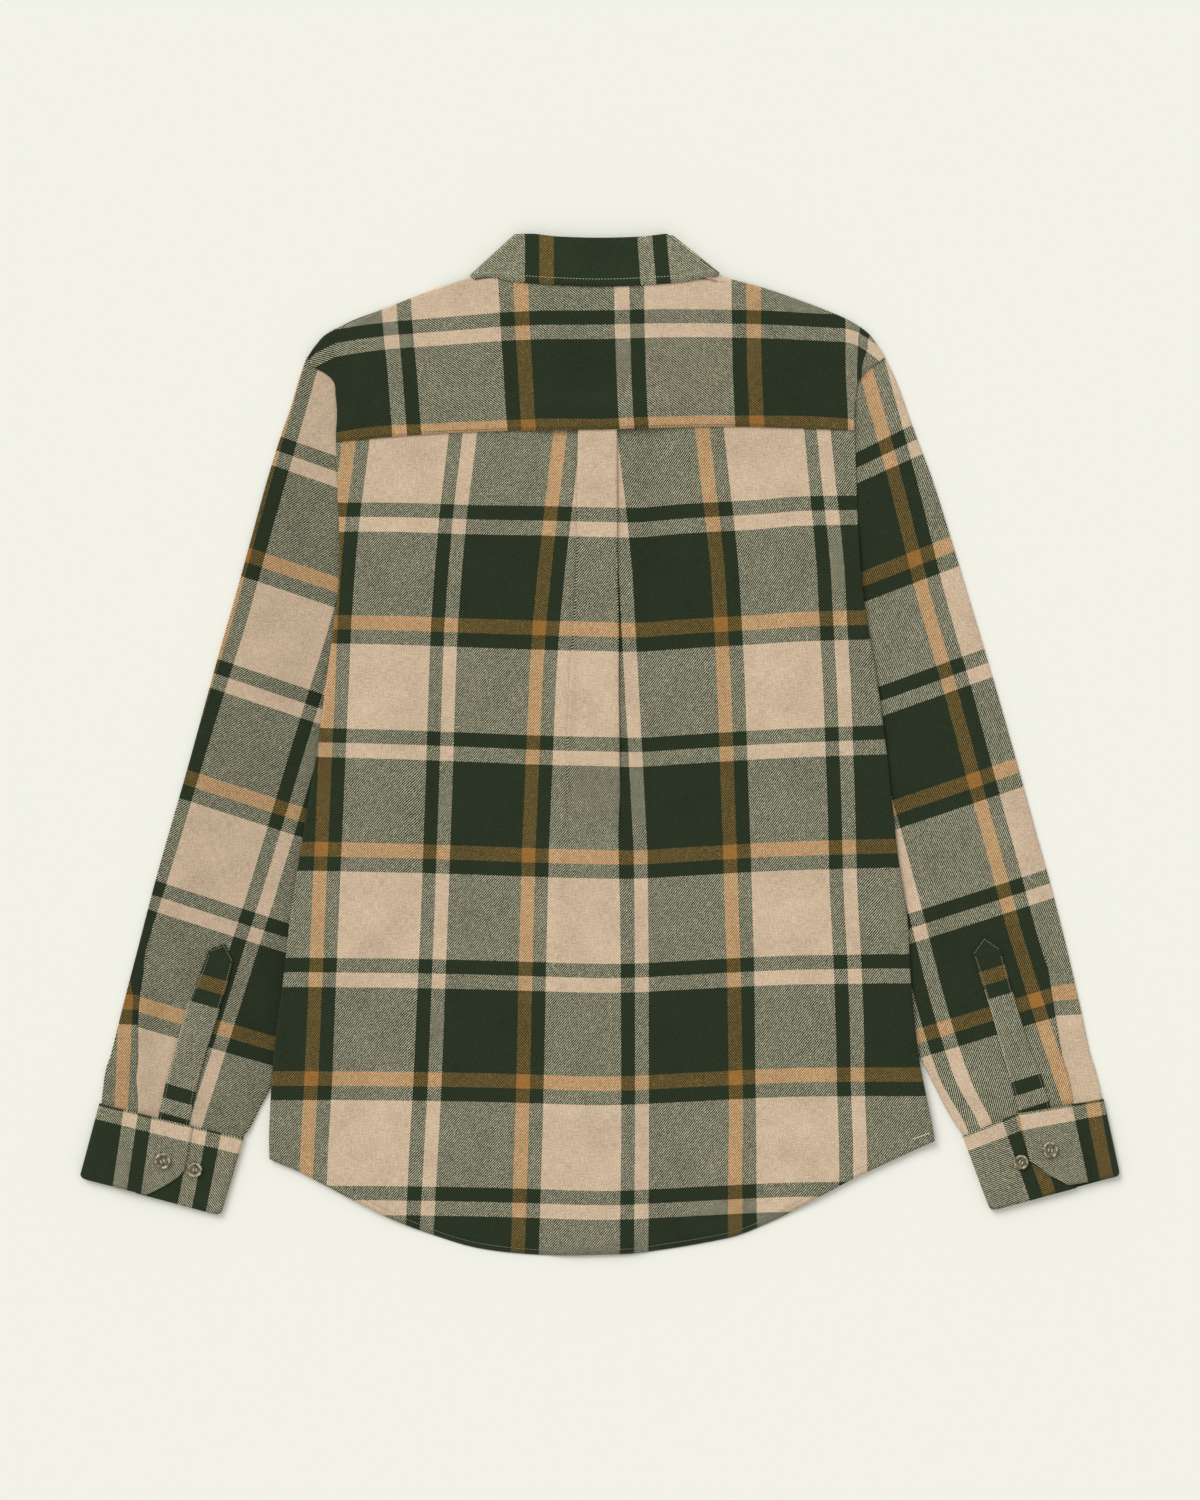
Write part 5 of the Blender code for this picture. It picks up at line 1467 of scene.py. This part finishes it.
def button(node, x, y, low_z, thick, diameter, face_up, degrees):
    """A copy of the pattern, turned about its axis, and two pairs of threads in its holes."""
    cosine, sine = math.cos(math.radians(degrees)), math.sin(math.radians(degrees))

    def stand(points):
        """Points of the pattern's space, where the button is."""
        px, py, pz = np.asarray(points).T
        if not face_up:
            py, pz = -py, 1.0 - pz
        return np.stack([x + diameter / 2 * (px * cosine - py * sine),
                         y + diameter / 2 * (px * sine + py * cosine), low_z + thick * pz], axis=-1)

    mesh = BUTTON.copy()
    points = stand([point.co for point in BUTTON.vertices]) * MM
    mesh.vertices.foreach_set("co", points.ravel())
    made = placed(node + "_turned", mesh)
    reach = HOLE_AT * 0.8
    bars = [stand([(at, -reach, DISH_HEIGHT), (at, 0.0, DISH_HEIGHT + THREAD_RISE / thick),
                   (at, reach, DISH_HEIGHT)])
            for at in (hole + apart for hole in (-HOLE_AT, HOLE_AT)
                       for apart in (-THREAD_APART, THREAD_APART))]
    BUTTONS.append((made, sew(node + "_thread", bars, PALE_THREAD, 0.5, 1.0, 0.5), node))


for k in range(6):
    button(f"front_button_{k + 1}", 0.0, FIRST_BUTTON_Y - k * BUTTON_SPACING, 0.0,
           BUTTON_THICK, BUTTON_WIDE, False, 7.0 * k)
button("collar_button", 0.0, COLLAR_BUTTON_Y, STAND_FRONT_Z - TABLE - SEAM - BUTTON_THICK,
       BUTTON_THICK, BUTTON_WIDE, False, 20.0)
link_z = TABLE + CUFF_LOFT + CLOTH / 2 + SEAM
for side, shape, degrees in (("left", LEFT_CUFF, 24.0), ("right", RIGHT_CUFF, -6.0)):
    button("cuff_button_" + side, *shape["button"], link_z + LAYER, CUFF_BUTTON_THICK,
           CUFF_BUTTON_WIDE, True, degrees)
    button("cuff_link_button_" + side, *shape["link_button"], link_z, CUFF_BUTTON_THICK,
           CUFF_LINK_WIDE, True, degrees - 20.0)


# %% [markdown]
# ## Floor and light
# A pale seamless table, one broad soft light from the upper left and an even fill. The light
# is as strong everywhere, as in a studio where it is far away.

# %% Floor, lights and surroundings
FLOOR_COLOUR = (0.893, 0.902, 0.832, 1.0)
FLOOR_HALF = 30.0
FLOOR_Z = -0.0002
WARM_WHITE = (1.0, 0.99, 0.97)
FILL = 0.65            # even light from all sides
KEY = 1.62             # the soft light from the upper left
KEY_SPREAD = 35.0      # degrees that it fills, so its shadows have soft edges
KEY_TILT = 48.0        # from straight above
KEY_TURN = 218.0

floor = mesh_object("floor", [(x * FLOOR_HALF, y * FLOOR_HALF, 0.0)
                              for x, y in ((-1, -1), (1, -1), (1, 1), (-1, 1))], [(0, 1, 2, 3)])
floor.data.materials.append(material("pale_paper", lambda start: {
    "Base Color": FLOOR_COLOUR, "Roughness": 0.9, "Specular IOR Level": 0.1}))
floor.location.z = FLOOR_Z

world = bpy.data.worlds.new("studio")
world.use_nodes = True
Wire(world.node_tree).feed(world.node_tree.nodes["Background"],
                           {"Color": (*WARM_WHITE, 1.0), "Strength": FILL})
bpy.context.scene.world = world

light = bpy.data.lights.new("soft_key", "SUN")
light.angle = math.radians(KEY_SPREAD)
light.energy = KEY
light.color = WARM_WHITE
key_light = placed("soft_key", light)
key_light.rotation_euler = (math.radians(KEY_TILT), 0.0, math.radians(KEY_TURN))
bpy.context.scene.view_settings.view_transform = "Standard"
print("one light and one floor")


# %% [markdown]
# ## Hand the pieces over
# Every piece rides on the shirt's one body and stands for its solid.

SHEETS = (
    # piece, node, flat size, area, how it is held and what it rests on
    (back, "back_panel", (0.62, 0.68), 0.375, "laid", ["left_front", "right_front"]),
    (yoke, "back_yoke", (0.50, 0.15), 0.062, "laid", ["back"]),
    (left_front, "front_left", (0.31, 0.76), 0.18, "laid", []),
    (right_front, "front_right", (0.31, 0.76), 0.18, "laid", []),
    (left_sleeve, "sleeve_left", (0.34, 0.62), 0.15, "folded", []),
    (right_sleeve, "sleeve_right", (0.34, 0.62), 0.15, "folded", []),
    (left_cuff, "cuff_left", (0.28, 0.063), 0.0168, "folded", []),
    (right_cuff, "cuff_right", (0.28, 0.063), 0.0165, "folded", []),
    (left_placket, "sleeve_placket_left", (0.024, 0.138), None, "laid", ["left_sleeve"]),
    (right_placket, "sleeve_placket_right", (0.027, 0.136), None, "laid", ["right_sleeve"]),
    (collar_leaf, "collar_fall", (0.46, 0.055), 0.02, "folded", ["collar_band"]),
    (collar_band, "collar_stand", (0.44, 0.03), None, "folded", ["right_front"]),
)


def hand_over(node, main, parts):
    """The main piece stands for a node, and its parts ride along."""
    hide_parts(node)
    for part in (main, *parts):
        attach(part, "root")


for piece, node, flat, area, held, under in SHEETS:
    sewn = SEWN.get(piece.name, [])
    hand_over(node, piece, sewn)
for made, threads, node in BUTTONS:
    hand_over(node, made, [threads])
